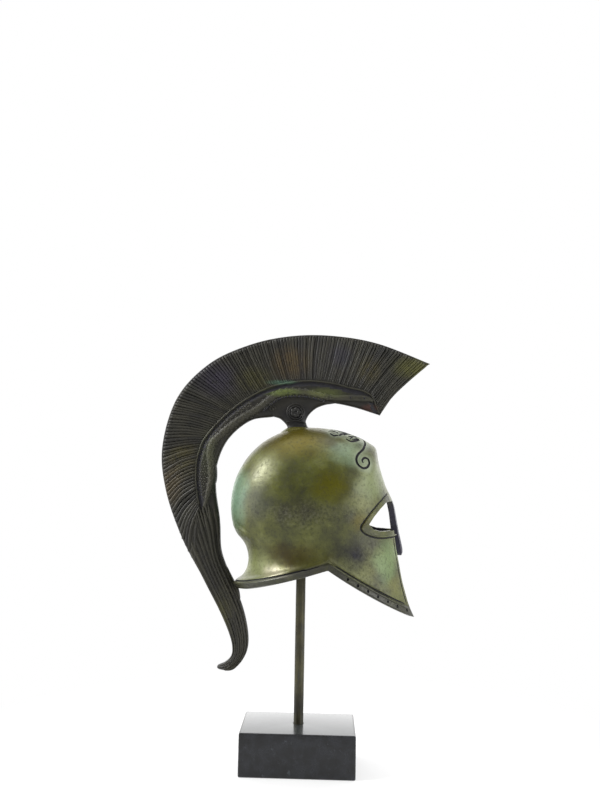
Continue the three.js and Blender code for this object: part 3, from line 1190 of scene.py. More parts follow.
@dataclass
class HelmetShape:
    """The rules that give the helmet's outside: an egg-shaped bowl over an oval body, with a crease
    between them, a flared rim behind and pointed cheeks in front."""

    middle: float = 5.2
    widest: float = 134.5
    front: float = 51.8
    back: float = 44.4
    side: float = 33.0
    rise: float = 45.3
    fall: float = 36.0
    power: float = 2.12
    flare_reach: float = 7.6
    flare_spread: float = 1.8
    crease_blend: float = 14.0
    notch: tuple[float, float] = (14.5, 105.6)
    brow: Course = shaped(
        [[76, 65], [86, 60.2], [98, 56.4], [110, 53.9], [122, 51.6], [131, 50.6], [138, 49.6], [143, 47.9],
         [149, 45.1], [156, 42.9], [164, 40.6], [172, 39.6]])
    neck: Course = shaped(
        [[76, -29], [103, -29], [109, -28.8], [115, -30.2], [119, -32.7], [121.5, -35.4], [124, -38.3],
         [129, -43.8], [136, -50], [172, -60]])
    flank: Course = shaped(
        [[76, 30], [100, 31.2], [112, 31.6], [122, 32.1], [130, 32.8], [135, 33], [145, 33.9],
         [155, 36.9], [160, 40], [172, 50]])
    section: Course = shaped(
        [[76, 1.7], [110, 1.8], [130, 1.95], [140, 2], [172, 2]])
    crease: Course = shaped(
        [[-15, 167.7], [0, 168.9], [15, 167.7], [24, 164.3], [32, 159.8], [41, 154.9], [59, 145.6],
         [73, 140.4], [92, 134.8], [110, 129.2], [137, 123.4], [160, 122.6], [180, 123], [200, 122.6]])
    flare: Course = shaped(
        [[0, 0.66], [3.6, 1], [4.6, 0.86], [6.7, 0.45], [9, 0.2], [12, 0.04], [16, 0]])

    @staticmethod
    def oval(angle: Array, front: Any, back: Any, side: Any, power: Any) -> Array:
        """Reach of an oval in one direction, given how far it goes forwards, back and sideways."""
        ahead = np.cos(angle)
        along = np.abs(ahead) / np.where(ahead > 0, front, back)
        across = np.abs(np.sin(angle)) / side
        return (along**power + across**power) ** (-1 / power)

    def bowl_share(self, z: Array) -> Array:
        """How far the bowl has drawn in at a height, 1 at its widest."""
        share = np.minimum(1, np.abs(z - self.widest) / np.where(z > self.widest, self.rise, self.fall))
        return (1 - share**self.power) ** (1 / self.power)

    def bowl_reach(self, angle: Array, z: Array) -> Array:
        """The bowl's reach in one direction at one height."""
        return self.bowl_share(z) * self.oval(angle, self.front, self.back, self.side, self.power)

    def plain_reach(self, angle: Array, z: Array) -> Array:
        """The body's reach before it is eased towards the bowl."""
        front, back = self.brow(z) - self.middle, self.middle - self.neck(z)
        return self.oval(angle, front, back, self.flank(z), self.section(z))

    def crease_height(self, angle: Array) -> Array:
        """The crease's height in one direction."""
        return self.crease(np.degrees(np.arccos(np.clip(np.cos(angle), -1, 1))))

    def body_reach(self, angle: Array, z: Array) -> Array:
        """The body's reach in one direction at one height."""
        top = self.crease_height(angle)
        miss = self.bowl_reach(angle, top) - self.plain_reach(angle, top)
        share = np.maximum(0, 1 - np.abs(top - z) / self.crease_blend)
        return self.plain_reach(angle, z) + miss * share**2

    def edge_height(self, x: Array) -> Array:
        """The lower edge's height where it passes a place along the helmet."""
        rim = 92.2 + 0.25 * (x + 33.8) + 0.00055 * (x + 33.8) ** 2
        gone = x - self.notch[0]
        cheek = self.notch[1] - 0.66 * gone + 0.0022 * gone**2
        return np.minimum(rim, cheek)

    def flare_at(self, angle: Array) -> Array:
        """How far the rim flares in one direction."""
        return self.flare_reach * ((1 - np.cos(angle)) / 2) ** self.flare_spread

    def edge_at(self, angle: Array) -> Array:
        """The lower edge's height in one direction."""
        edge = np.full_like(angle, self.notch[1])
        for _ in range(20):
            edge = self.edge_height(self.around(angle, edge, 0.0)[:, 0])
        return edge

    def around(self, angle: Array, z: Array, above: Any) -> Array:
        """Places on the flared body, given how far each is above the lower edge."""
        reach = self.body_reach(angle, z) + self.flare_at(angle) * self.flare(above)
        return beside(self.middle + reach * np.cos(angle), reach * np.sin(angle), z)

    def on_side(self, x: float, z: float) -> float:
        """How far out from the middle the surface is, seen from the side at one place."""
        angle = np.radians(np.linspace(0.5, 110, 700))
        height = np.full_like(angle, z)
        below = z < self.crease_height(angle)
        reach = np.where(below, self.body_reach(angle, height), self.bowl_reach(angle, height))
        found = float(np.interp(-x, -(self.middle + reach * np.cos(angle)), angle))
        return float(np.interp(found, angle, reach * np.sin(angle)))

    def on_top(self, x: float, y: float) -> float:
        """The bowl's height above one place."""
        angle = np.array([math.atan2(y, x - self.middle)])
        widest = float(self.oval(angle, self.front, self.back, self.side, self.power)[0])
        share = math.hypot(x - self.middle, y) / widest
        return self.widest + self.rise * (1 - min(1, share) ** self.power) ** (1 / self.power)


@dataclass
class Helmet:
    """The helmet: a shell with eye openings, engraving, and beads along its edges."""

    shop: Workshop
    shape: HelmetShape = field(default_factory=HelmetShape)
    wall: float = 2.4
    nasal_half: float = 2.7
    nasal_root_half: float = 4.3
    nasal_end: float = 111.4
    groove: float = 0.7
    line: float = 0.42
    line_rise: tuple[float, float] = (4.6, 3.9)
    cheek_line_rise: float = 4.75
    eye_line_gap: float = 0.85
    front_line_gap: float = 1.7
    bead: float = 0.5
    bead_sink: float = 0.05
    dot_radius: float = 0.8
    dot_rise: float = 2.0
    dot_places: tuple[float, float, float] = (24.5, 58.0, 5.332)
    slit: Pairs = ((60, 6), (100, 7.1), (127.5, 8.2))
    fine_edge: float = 9.0
    halo_reach: float = 2.0
    rim_profile: Course = shaped(
        [[0, -0.5], [0.5, 0.0], [2.2, 0.1], [2.6, 0.3], [3.1, 0.32], [3.6, -0.4], [4.2, -0.45],
         [4.8, 0.0], [7, 0]])
    cheek_profile: Course = shaped(
        [[0, -0.5], [0.5, -0.1], [3.1, -0.2], [3.5, 0.3], [4.0, 0.34], [4.5, -0.3], [5.0, -0.3],
         [5.6, 0.0], [8, 0]])
    nasal_bulge: Course = shaped(
        [[111.2, 0.2], [112, 1.1], [113.4, 1.7], [116, 1.9], [123, 1.5], [132, 0.8], [140, 0.3], [147, 0]])
    shoulder: Pairs = ((-41, 127.8), (-36.2, 126.1), (-31.5, 124.3), (-28.3, 122.1), (-25.4, 118.5),
                       (-23.9, 113.3))
    eye: Pairs = ((35.4, 128.9), (38.0, 132.8), (41.3, 136.7), (44.6, 139.9), (47, 140.5), (76, 140.5),
                  (76, 125.3), (47, 125.1), (41.5, 125.1), (38, 126.1))
    eye_border: Pairs = ((46.2, 144.2), (43.0, 141.2), (38.0, 136.0), (34.0, 131.0), (31.6, 127.3),
                         (33.4, 124.9), (37.5, 123.1), (42, 122.4), (47.2, 122.5), (50.6, 122.7))
    stem_line: Pairs = ((25.1, 13.9), (26.4, 10.6), (29.8, 4.3), (32.6, 5.5), (33.6, 9.4), (32.4, 15.9),
                        (29.8, 20.0))
    coil_line: Pairs = ((29.8, 165.6), (28.5, 163.2), (28.8, 160.6), (30.3, 158.8), (32.6, 157.9),
                        (34.8, 158.8), (35.7, 160.8), (34.8, 162.8), (32.9, 163.3), (31.6, 162.0),
                        (32.2, 160.6))
    leaves: tuple[Pairs, ...] = (
        ((13.8, 10.4), (15.6, 8.8), (17.8, 9.4), (19.0, 10.8)),
        ((14.6, 12.8), (16.6, 14.4), (19.0, 12.8)),
        ((22.0, 11.2), (24.0, 7.4), (26.6, 5.4), (29.4, 4.6)),
        ((23.0, 14.4), (25.6, 15.2), (28.6, 12.4), (30.4, 9.4)),
        ((24.4, 11.8), (26.6, 9.2), (29.4, 7.6)),
        ((14.5, 4.6), (19.5, 4.9), (25.6, 2.4)),
        ((19.4, 13.6), (20.6, 11.0), (21.8, 9.0), (24.0, 6.4)),
        ((18.8, 7.4), (21.2, 6.8), (24.6, 4.4)),
        ((26.4, 12.9), (28.6, 10.6), (30.2, 7.8)),
    )
    middle_leaf: Pairs = ((13.5, 0), (20, 0), (27, 0))
    collar: Pairs = ((174.5, 0.0), (175.4, 11.5), (176.9, 9.8), (178.2, 8.2), (179.1, 7.0), (179.6, 6.2),
                     (179.9, 5.2), (180.0, 0.0))
    collar_width: float = 0.8
    collar_shift: float = -2.8

    def columns(self) -> Array:
        """The directions of the shell's columns, closest together in front."""
        share = np.linspace(0, 1, 161)
        half = np.radians(np.interp(share, [0, 0.6, 1], [0, 62, 180]))
        return np.concatenate([half, -half[1:-1][::-1]])

    def outside(self) -> tuple[Array, Array, Array]:
        """The smooth outside.

        Returns:
            Rows of rings of points, the height of each above the lower edge, and the directions.
        """
        shape = self.shape
        angle = self.columns()
        edge = shape.edge_at(angle)
        crease = shape.crease_height(angle)
        fine = self.fine_edge
        heights = [edge + h for h in np.linspace(0, fine, 28)]
        heights += [edge + fine + s * (crease - edge - fine) for s in np.linspace(0, 1, 78)[1:]]
        rings = [shape.around(angle, z, z - edge) for z in heights]
        above = [z - edge for z in heights]
        start = np.arccos(shape.bowl_share(crease)) * np.sign(crease - shape.widest)
        for step in np.linspace(0, 1, 62)[1:-1]:
            turn = start + (math.pi / 2 - start) * step
            share = np.cos(turn)
            height = (1 - np.clip(share, 0, 1) ** shape.power) ** (1 / shape.power)
            z = shape.widest + height * np.where(turn > 0, shape.rise, -shape.fall)
            reach = share * shape.oval(angle, shape.front, shape.back, shape.side, shape.power)
            rings.append(beside(shape.middle + reach * np.cos(angle), reach * np.sin(angle), z))
            above.append(z - edge)
        return self.softened(np.array(rings), len(heights), angle), np.array(above), angle

    @staticmethod
    def softened(rings: Array, row: int, angle: Array) -> Array:
        """Rounds the crease over everywhere but at the peak.

        Args:
            rings: the rows of points.
            row: the crease's row.
            angle: the columns' directions.

        Returns:
            The eased rows.
        """
        rows = np.arange(len(rings))
        turn = np.degrees(np.abs(np.arctan2(np.sin(angle), np.cos(angle))))
        behind = 0.12 + 0.88 * ease(14, 40, turn)
        near = np.exp(-(((rows - row) / 9.0) ** 2))[:, None] * behind[None, :]
        eased = rings.copy()
        for _ in range(60):
            middle = (np.roll(eased, 1, axis=0) + np.roll(eased, -1, axis=0)) / 2
            eased = eased + (middle - eased) * (0.8 * near)[..., None]
        return eased

    @staticmethod
    def normals(rings: Array) -> Array:
        """The direction straight out of a grid of rings at each point."""
        around = np.roll(rings, -1, axis=1) - np.roll(rings, 1, axis=1)
        up = np.gradient(rings, axis=0)
        out = np.cross(around, up)
        return out / np.maximum(np.linalg.norm(out, axis=2, keepdims=True), 1e-9)

    def relief(self, rings: Array, above: Array) -> Array:
        """How far each point of the outside stands proud of the smooth shape.

        Args:
            rings: the rows of points.
            above: the height of each above the lower edge.

        Returns:
            Millimetres outwards.
        """
        x, y, z = rings.reshape(-1, 3).T
        over = above.reshape(-1)
        cheek = ease(12, 17, x)
        proud = self.rim_profile(over) * (1 - cheek) + self.cheek_profile(over) * cheek * ease(58.5, 53, x)
        away, share, inside = to_path(beside(x, z), curve(self.shoulder, 40))
        fade = ease(1.0, 0.55, share) * ease(0.1, 0.35, share) * inside
        proud += fade * (0.45 * np.exp(-((away - 0.2) / 0.8) ** 2) - 0.5 * np.exp(-((away + 1.3) / 0.8) ** 2))
        proud += self.nasal_bulge(z) * np.exp(-((y / 3.2) ** 2)) * (x > 30)
        proud += 0.06 * np.sin(x * 0.41) * np.sin(z * 0.33 + y * 0.2)
        return proud.reshape(above.shape)

    def build_shell(self) -> Piece:
        """The hollow shell, before anything is cut from it.

        Returns:
            The closed shell, green outside and dark inside.
        """
        rings, above, angle = self.outside()
        out = self.normals(rings)
        level = out.copy()
        level[0, :, 2] = 0
        level = unit(level)
        keep = [0, 3, 8, 16, 27, *range(31, len(rings), 5), len(rings) - 1]
        inner = (rings - level * self.wall)[np.unique(keep)]
        outer = rings + out * self.relief(rings, above)[..., None]
        crown = self.shape.widest + self.shape.rise
        low, high = (self.shape.middle, 0, crown - self.wall), (self.shape.middle, 0, crown)
        whole = np.concatenate([inner[::-1], outer])
        shell = ring_stack("helmet_shell_bronze", whole, low, high)
        shell.data.materials.append(self.shop.green)
        shell.data.materials.append(self.shop.recess)
        count = whole.shape[1]
        dark = np.zeros(len(shell.data.polygons), dtype=np.int32)
        dark[: (len(inner) - 1) * count] = 1
        dark[-2 * count : -count] = 1
        shell.data.polygons.foreach_set("material_index", dark)
        return shell

    @staticmethod
    def prism(name: str, near: Array, far: Array, material: Material) -> Piece:
        """A closed cutter between two outlines of as many points.

        Args:
            name: its name.
            near: one end's outline.
            far: the other end's outline.
            material: what its cuts are dressed in.

        Returns:
            The cutter.
        """
        count = len(near)
        faces = ring_faces(2, count) + [list(range(count))[::-1], list(range(count, 2 * count))]
        made = make_object(name, np.concatenate([near, far]), faces)
        made.data.materials.append(material)
        return outward(made)

    def opening_tools(self) -> list[Piece]:
        """The cutters for both eyes and for the slit on both sides of the nose guard.

        Returns:
            The closed cutters.
        """
        x, z = np.array(self.eye).T
        inner_half = np.interp(z, [125, 140.5], [self.nasal_half, self.nasal_root_half])
        tools = []
        for label, hand in (("left_eye", 1), ("right_eye", -1)):
            outlines = beside(x, hand * inner_half, z), beside(x, hand * 70.0, z)
            tools.append(self.prism(label, *outlines, self.shop.green))
        half, end = self.nasal_half, self.nasal_end
        right = [[y, z] for z, y in self.slit]
        right += [[half, self.slit[-1][0]], [half, end + 3.2]]
        right += [[half * 0.86, end + 1.5], [half * 0.5, end + 0.4]]
        front = np.array([*right, [0, end], *[[-y, z] for y, z in right[::-1]]])
        behind = beside(25.0, front[:, 0], front[:, 1])
        tools.append(self.prism("face_slit", behind, behind + [80, 0, 0], self.shop.green))
        return tools

    def on_side(self, hand: int, flat: Pairs, sink: float = 0.0) -> Array:
        """A path seen from one side laid on the surface, or sunk a little into it."""
        return np.array([[x, hand * (self.shape.on_side(x, z) - sink), z] for x, z in flat])

    def on_top(self, hand: int, flat: Pairs) -> Array:
        """A path seen from above laid on the bowl, on one side of the middle."""
        return np.array([[x, hand * y, self.shape.on_top(x, y)] for x, y in flat])

    def engraved_lines(self) -> Lines:
        """The engraved ornament over the brow.

        Returns:
            The paths of its lines and how wide each is along its length.
        """
        paths: list[Array] = []
        widths: list[Array] = []
        top = curve(self.stem_line, 26)
        side = curve(self.coil_line, 60)
        for hand in HANDS:
            paths.append(np.concatenate([self.on_top(hand, top), self.on_side(hand, side[2:])]))
            widths.append(self.groove * tapered(len(paths[-1]), [0, 0.1, 0.9, 1], [0.5, 1, 1, 0.55]))
            for leaf in self.leaves:
                paths.append(self.on_top(hand, curve(leaf, 16)))
                widths.append(0.35 + 0.55 * np.sin(np.linspace(0.15, math.pi - 0.15, 16)))
        paths.append(self.on_top(1, curve(self.middle_leaf, 20)))
        widths.append(0.35 + 0.7 * np.sin(np.linspace(0.15, math.pi - 0.15, 20)))
        return paths, widths

    def edge_lines(self) -> Lines:
        """The thin engraved lines round the eyes, along the rim, down the cheeks and beside the slit.

        Returns:
            The paths of the lines and how wide each is along its length.
        """
        shape = self.shape
        angle = np.radians(np.linspace(82, 278, 150))
        above = np.interp(np.abs(np.degrees(angle) - 180), [0, 98], self.line_rise)
        paths = [shape.around(angle, shape.edge_at(angle) + above, above)]
        for hand in HANDS:
            border = curve(self.eye_border, 60)
            forward = unit(np.gradient(border, axis=0))
            outer = border + beside(forward[:, 1], -forward[:, 0]) * self.eye_line_gap
            paths.append(self.on_side(hand, outer))
            x = np.linspace(18.0, 55.0, 60)
            paths.append(self.on_side(hand, beside(x, shape.edge_height(x) + self.cheek_line_rise)))
            down = np.linspace(121.5, 87.0, 40)
            out = np.interp(down, *np.array(self.slit).T) + self.front_line_gap
            front = []
            for y, z in zip(out, down):
                turns = np.radians(np.linspace(1, 40, 300))
                reaches = shape.body_reach(turns, np.full(300, z))
                turn = float(np.interp(y, reaches * np.sin(turns), turns))
                far = float(np.interp(turn, turns, reaches))
                front.append([shape.middle + far * math.cos(turn), hand * y, z])
            paths.append(np.array(front))
        widths = [self.line * tapered(len(path), [0, 0.06, 0.94, 1], [0.5, 1, 1, 0.5]) for path in paths]
        return paths, widths

    def mark_shell(self, shell: Piece, ornament: Sequence[Array]) -> None:
        """Marks the rim, the nose guard and the surroundings of the ornament for the finish: the guard's dark
        tone is partly patina and partly painted shade, and the edge round the ornament is partly wear and
        partly painted highlight.

        Args:
            shell: the finished shell.
            ornament: the paths of the ornament's lines.
        """
        places = points_of(shell)
        over = places[:, 2] - self.shape.edge_height(places[:, 0])
        mark(shell, "rim", ease(5.0, 3.4, over))
        # the nose guard, darkened by patina and by painted shade
        guard = (np.abs(places[:, 1]) < self.nasal_root_half + 0.4) & (places[:, 0] > 40)
        mark(shell, "guard", guard * ease(144, 138, places[:, 2]))
        known = np.concatenate(ornament)
        near = np.full(len(places), 99.0)
        low = known.min(axis=0) - 6
        close = np.flatnonzero((places[:, 2] > low[2]) & (places[:, 0] > low[0]))
        for part in np.array_split(close, 40):
            gap = places[part][:, None, :] - known[None, :, :]
            near[part] = np.sqrt((gap**2).sum(axis=2).min(axis=1))
        # how near each point is to the ornament, for its pale edge of wear and painted highlight
        mark(shell, "halo", np.exp(-((near / self.halo_reach) ** 2)))

    def carve_openings(self, shell: Piece) -> None:
        """Cuts the openings, the ornament and the dots out of the shell.

        Args:
            shell: the closed shell.
        """
        ornament, widths = self.engraved_lines()
        edging, edging_widths = self.edge_lines()
        corners = [vertex.co for vertex in shell.data.vertices]
        ground = BVHTree.FromPolygons(corners, [face.vertices[:] for face in shell.data.polygons])
        paths = [seated(path, ground) for path in ornament + edging]
        tools = self.opening_tools()
        for i, (path, width) in enumerate(zip(paths, widths + edging_widths)):
            cutter = make_paths(f"graver_{i}", [path], [width])
            grow(cutter, self.shop.sweep, {"Sides": 8, "Material": self.shop.recess})
            tools.append(outward(cutter))
        tools += self.dot_tools()
        carve(shell, tools)
        self.mark_shell(shell, paths[: len(ornament)])

    def dot_tools(self) -> list[Piece]:
        """The punches for the row of dots along each cheek's border."""
        made = []
        x = np.arange(*self.dot_places)
        for hand in HANDS:
            for centre in self.on_side(hand, beside(x, self.shape.edge_height(x) + self.dot_rise)):
                seat = make_seats(f"punch_{len(made)}", centre[None, :], np.array([self.dot_radius]))
                made.append(grow(seat, self.shop.boss, {"Rings": 6, "Material": self.shop.recess}))
        return made

    def build_beads(self) -> Piece:
        """The raised lines that edge the eyes."""
        lines = [self.on_side(hand, curve(self.eye_border, 60), self.bead_sink) for hand in HANDS]
        beads = make_paths("eye_beads", lines, [np.full(len(line), self.bead) for line in lines])
        return grow(beads, self.shop.sweep, {"Sides": 8, "Material": self.shop.green})

    def build_collar(self) -> Piece:
        """The low boss on the crown that the crest stands on."""
        made = turned("crown_collar", self.collar)
        made.data.transform(Matrix.Diagonal((1.0, self.collar_width, 1.0, 1.0)))
        made.data.transform(Matrix.Translation((self.collar_shift * MM, 0, 0)))
        return made

    def dress(self, pieces: Sequence[Piece]) -> None:
        """Gives the pieces their finish and ties them to the model."""
        for piece in pieces:
            if not piece.data.materials:
                piece.data.materials.append(self.shop.green)
            attach(piece, "helmet_shell")


# ---------------------------------------------------------------- crest


@dataclass
class Crest:
    """The crest: a swept body, combed hair on both faces, a serpent along its band, a twisted tail, and
    the stem with its rosette."""

    shop: Workshop
    outer: Pairs = ((69.4, 216.2), (40.5, 227.2), (14.9, 231.3), (-8.7, 230.7), (-31.4, 225.4),
                    (-53.4, 214.5), (-70.6, 195.3), (-78, 168), (-75.1, 143.7), (-65.5, 118.6), (-53.7, 97.8),
                    (-44.3, 80.9), (-38.4, 68.3), (-36.3, 60.5), (-37.2, 55.7), (-41.2, 52.2), (-44.6, 51.4))
    inner: Pairs = ((42, 187.3), (26.5, 191.9), (12.5, 193.8), (-3, 191), (-15.5, 186), (-29.5, 183.3),
                    (-41.5, 173), (-47.4, 159), (-47.6, 144.5), (-45, 128.5), (-43.7, 111.6), (-36.6, 95),
                    (-31.1, 81.5), (-28, 67), (-28.9, 57.5), (-35, 49.6), (-43.8, 48.6))
    ridge: Pairs = ((41.5, 188.0), (39.4, 193), (36.9, 198), (31.9, 200.6), (24.6, 202.2), (17.2, 204.1),
                    (9.8, 205.2), (2.4, 205.6), (-5, 205), (-12.4, 203.7), (-19.7, 201.6), (-27, 197.9),
                    (-32.5, 194.6), (-37.9, 190.6), (-43.3, 185.9), (-49.2, 179.7), (-55, 171.9),
                    (-56.7, 167.4), (-58, 162.8), (-58.7, 156.9), (-58.5, 149.2), (-57.3, 141.1),
                    (-55.5, 132))
    guides: tuple[Pairs, ...] = (
        ((41.8, 188.8), (50.6, 200.4), (68.0, 215.4)),
        ((39.6, 193.0), (49.3, 205.5), (62.5, 219.0)),
        ((37.0, 198.6), (45.5, 209.8), (56, 222.0)),
        ((32.2, 201.0), (40, 213.3), (48.2, 224.8)),
        ((24.6, 202.6), (29.5, 215), (34.5, 228.3)),
        ((12.6, 205.3), (15.5, 217), (18.5, 230.6)),
        ((2.4, 206), (2.0, 218.5), (2.5, 231.1)),
        ((-7, 205.2), (-10, 217), (-12.5, 230.0)),
        ((-19.7, 202.0), (-26, 213.5), (-31.4, 225.2)),
        ((-33.0, 194.4), (-41.5, 205), (-50.8, 215.8)),
        ((-43.6, 185.8), (-56, 190.4), (-71.0, 194.6)),
        ((-50.5, 178.2), (-63, 181.3), (-76, 182.3)),
        ((-55.8, 171), (-66.5, 169.6), (-78.1, 167.2)),
        ((-58.3, 162), (-67.5, 158.6), (-77.3, 152.3)),
        ((-58.8, 152.5), (-67.5, 148.2), (-75.2, 140.8)),
        ((-58.2, 146.2), (-66.2, 140.2), (-72.4, 131.5)),
        ((-57.2, 141), (-63.8, 132.5), (-68.0, 123.6)),
        ((-56.2, 136.5), (-60.8, 126), (-62.4, 112.8)),
        ((-55.4, 132.5), (-57.6, 120), (-56.8, 103.5)),
    )
    serpent_edge: Pairs = (
        (38.6, 195.2), (36.6, 197.0), (34.4, 197.8), (31.8, 198.2), (26.9, 198.4), (22.0, 198.1),
        (17.3, 197.8), (12.3, 198.2), (7.4, 199.6), (2.5, 200.8), (-2.5, 201.3), (-7.4, 201.4),
        (-12.2, 200.8), (-17.1, 199.0), (-20.5, 196.7), (-26.8, 191.4), (-35.0, 186.6), (-43.1, 180.6),
        (-49.0, 175), (-52.1, 171.3),
        (-53.5, 165.1), (-52.7, 158.3), (-52.0, 151.6), (-52.9, 144.8), (-53.7, 138.5), (-55.3, 131.3))
    serpent_girth: Course = shaped(
        [[0, 0.8], [0.02, 1.5], [0.05, 2.1], [0.09, 2.2], [0.15, 1.8], [0.2, 1.75], [0.27, 2.0], [0.36, 2.2],
         [0.45, 2.4], [0.6, 2.5], [0.75, 2.5], [0.86, 2.2], [0.93, 1.5], [0.98, 0.7], [1, 0.4]])
    lanes: Pairs = (
        (0.93, 8.2, 15.5, 1), (0.81, 8.3, 15.5, 1), (0.69, 8.45, 15.3, 1), (0.57, 8.55, 15.5, 1),
        (0.45, 8.65, 15.1, 1), (0.33, 8.75, 15.5, 1), (0.21, 8.85, 15.2, 1), (0.09, 9.0, 15.5, 1),
        (0.87, 8.3, 11.6, 0.6), (0.75, 8.35, 10.9, 0.6), (0.63, 8.5, 11.9, 0.6), (0.51, 8.6, 11.2, 0.6),
        (0.39, 8.7, 12.0, 0.6), (0.27, 8.8, 11.0, 0.6), (0.15, 8.95, 11.7, 0.6))
    locks: tuple[Pairs, ...] = (
        ((-48.4, 141), (-47.4, 134), (-46.1, 128), (-45.7, 124.6)),
        ((-40.5, 103), (-37.4, 96.5), (-34.6, 91), (-33.2, 85.2)),
    )
    scallops: tuple[float, float] = (0.19, 0.47)
    scallop_step: float = 1.8
    scale_clearance: float = 1.05
    stations: int = 320
    across: int = 46
    strands: int = 134
    closeness: Course = shaped([[0, 1], [9, 1], [13, 0.75], [15, 0.6], [18, 0.5]])
    strand_points: int = 22
    sunken_share: float = 0.06
    sunken_depth: float = 0.42
    seed: int = 11
    rubbed: dict[str, float] = field(default_factory=lambda: {
        "crest_body": 0.04, "crest_stem": 0.0, "crest_ridge": 0.9, "crest_tail": 0.5, "serpent_body": 0.75,
        "crest_hair": 0.36, "serpent_scales": 0.75, "stem_rosette": 0.3, "stem_mouldings": 0.35})
    serpent_proud: float = 3.2
    serpent_swell: float = 1.12
    scale_rows: tuple[Sequence[float], Sequence[float]] = ((-0.88, -0.31, 0.31, 0.88), (-0.62, 0.0, 0.62))
    scale_span: tuple[float, float] = (0.17, 0.93)
    scale_step: float = 1.75
    scale_sizes: tuple[float, float] = (0.62, 0.78)
    scallop_size: float = 0.82
    neck_span: tuple[float, float] = (0.5, 0.93)
    neck_step: float = 1.5
    neck_scale: float = 0.55
    notch_size: float = 0.72
    eyes_and_nostrils: Pairs = ((25.6, 4.25, 196.5), (33.2, 4.2, 196.2))
    eye_sizes: tuple[float, float] = (0.55, 0.62)
    ridge_face: float = 2.35
    ridge_reach: float = 0.55
    tail_half: float = 3.5
    medallion: tuple[float, float, float] = (-4.4, 3.62, 187.9)
    flower: dict[str, Any] = field(default_factory=lambda: {
        "Rim radius": 4.7 * MM, "Inner rim": 3.6 * MM, "Rim thickness": 0.45 * MM, "Petals": 5,
        "Petal ring": 1.75 * MM, "Petal size": 1.5 * MM, "Heart": 0.6 * MM})
    stem_span: tuple[float, float] = (178.6, 195.0)
    stem_rear: Pairs = ((179.0, -8.8), (180.2, -9.0), (181.4, -9.7), (183.6, -11.9), (184.9, -14.0),
                        (186.0, -18), (188, -19), (195, -17))
    stem_front: Pairs = ((179.0, 3.6), (179.8, 2.8), (180.5, 2.1), (181.6, 1.6), (182.7, 1.2), (183.8, 1.3),
                         (186, 2.3), (188.3, 4.1), (190.5, 6.7), (191.7, 9.1), (192.9, 13.0), (193.5, 17.0),
                         (195, 17.0))
    stem_arc: Pairs = ((-10.2, 182.0), (-7.5, 182.9), (-4.3, 183.2), (-1.2, 182.9), (1.4, 182.0))
    stem_curl: tuple[float, float] = (-17.4, 189.7)

    def edge_point(self, where: Array, share: Array) -> Array:
        """Places on the crest seen from the side.

        Args:
            where: places along the crest, 0 at the front tip and 16 at the curl.
            share: places across it, 0 at the outer edge and 1 at the inner.

        Returns:
            Rows of x and z.
        """
        share = 0.5 + (share - 0.5) * np.sqrt(1 - np.clip((where - 15.35) / 0.66, 0, 0.995) ** 2)
        outer = spline(self.outer, where)
        inner = spline(self.inner, where)
        span = inner - outer
        square = unit(beside(span[:, 1], -span[:, 0]))
        hollow = 3.1 * np.maximum(0, 1 - np.asarray(where) / 1.3) ** 1.6
        return outer + span * share[:, None] + square * (hollow * 4 * share * (1 - share))[:, None]

    def tail_share(self, flat: Array) -> Array:
        """How much a place belongs to the tail rather than to the plume."""
        return ease(139, 122, flat[:, 1]) * (flat[:, 0] < -20)

    def half_thickness(self, flat: Array, share: Array, over: Array) -> Array:
        """Half the crest's thickness.

        Args:
            flat: places seen from the side.
            share: how far across each lies.
            over: how far beyond the hair's foot each lies, on the hair's side.

        Returns:
            Millimetres from the middle plane.
        """
        hair = 0.75 + 1.45 * np.clip(share / 0.62, 0, 1)
        hair *= np.sqrt(1 - np.clip(1 - share / 0.02, 0, 1) ** 2 * 0.7)
        band = 2.2 + ease(1.6, 3.0, -over)
        band *= np.sqrt(1 - np.clip((share - 0.93) / 0.07, 0, 1) ** 2 * 0.65)
        plume = np.where(over > 0, hair, band)
        tail = self.tail_half * self.tail_section(share, 0.03)
        mix = self.tail_share(flat)
        return plume * (1 - mix) + tail * mix

    @staticmethod
    def tail_section(share: Any, least: float) -> Any:
        """How thick the tail is across its width, 1 at its middle and never less than a given root."""
        return np.sqrt(np.clip(1 - np.abs(2 * share - 1) ** 2.4, least, 1))

    @staticmethod
    def curl_taper(where: Array) -> Array:
        """How the tail thins towards the end of its curl, by place along the crest."""
        return np.sqrt(np.clip(1 - ((where - 15.0) / 1.02).clip(0, 1) ** 2, 0.05, 1))

    def thickness_at(self, flat: Array) -> Array:
        """Half the crest's thickness at places seen from the side."""
        grid_where = np.repeat(np.linspace(0, 16, 240), 40)
        grid_share = np.tile(np.linspace(0, 1, 40), 240)
        known = self.edge_point(grid_where, grid_share)
        share = grid_share[((flat[:, None, :] - known[None, :, :]) ** 2).sum(axis=2).argmin(axis=1)]
        over, _, _ = to_path(flat, curve(self.ridge, 120))
        return self.half_thickness(flat, share, over)

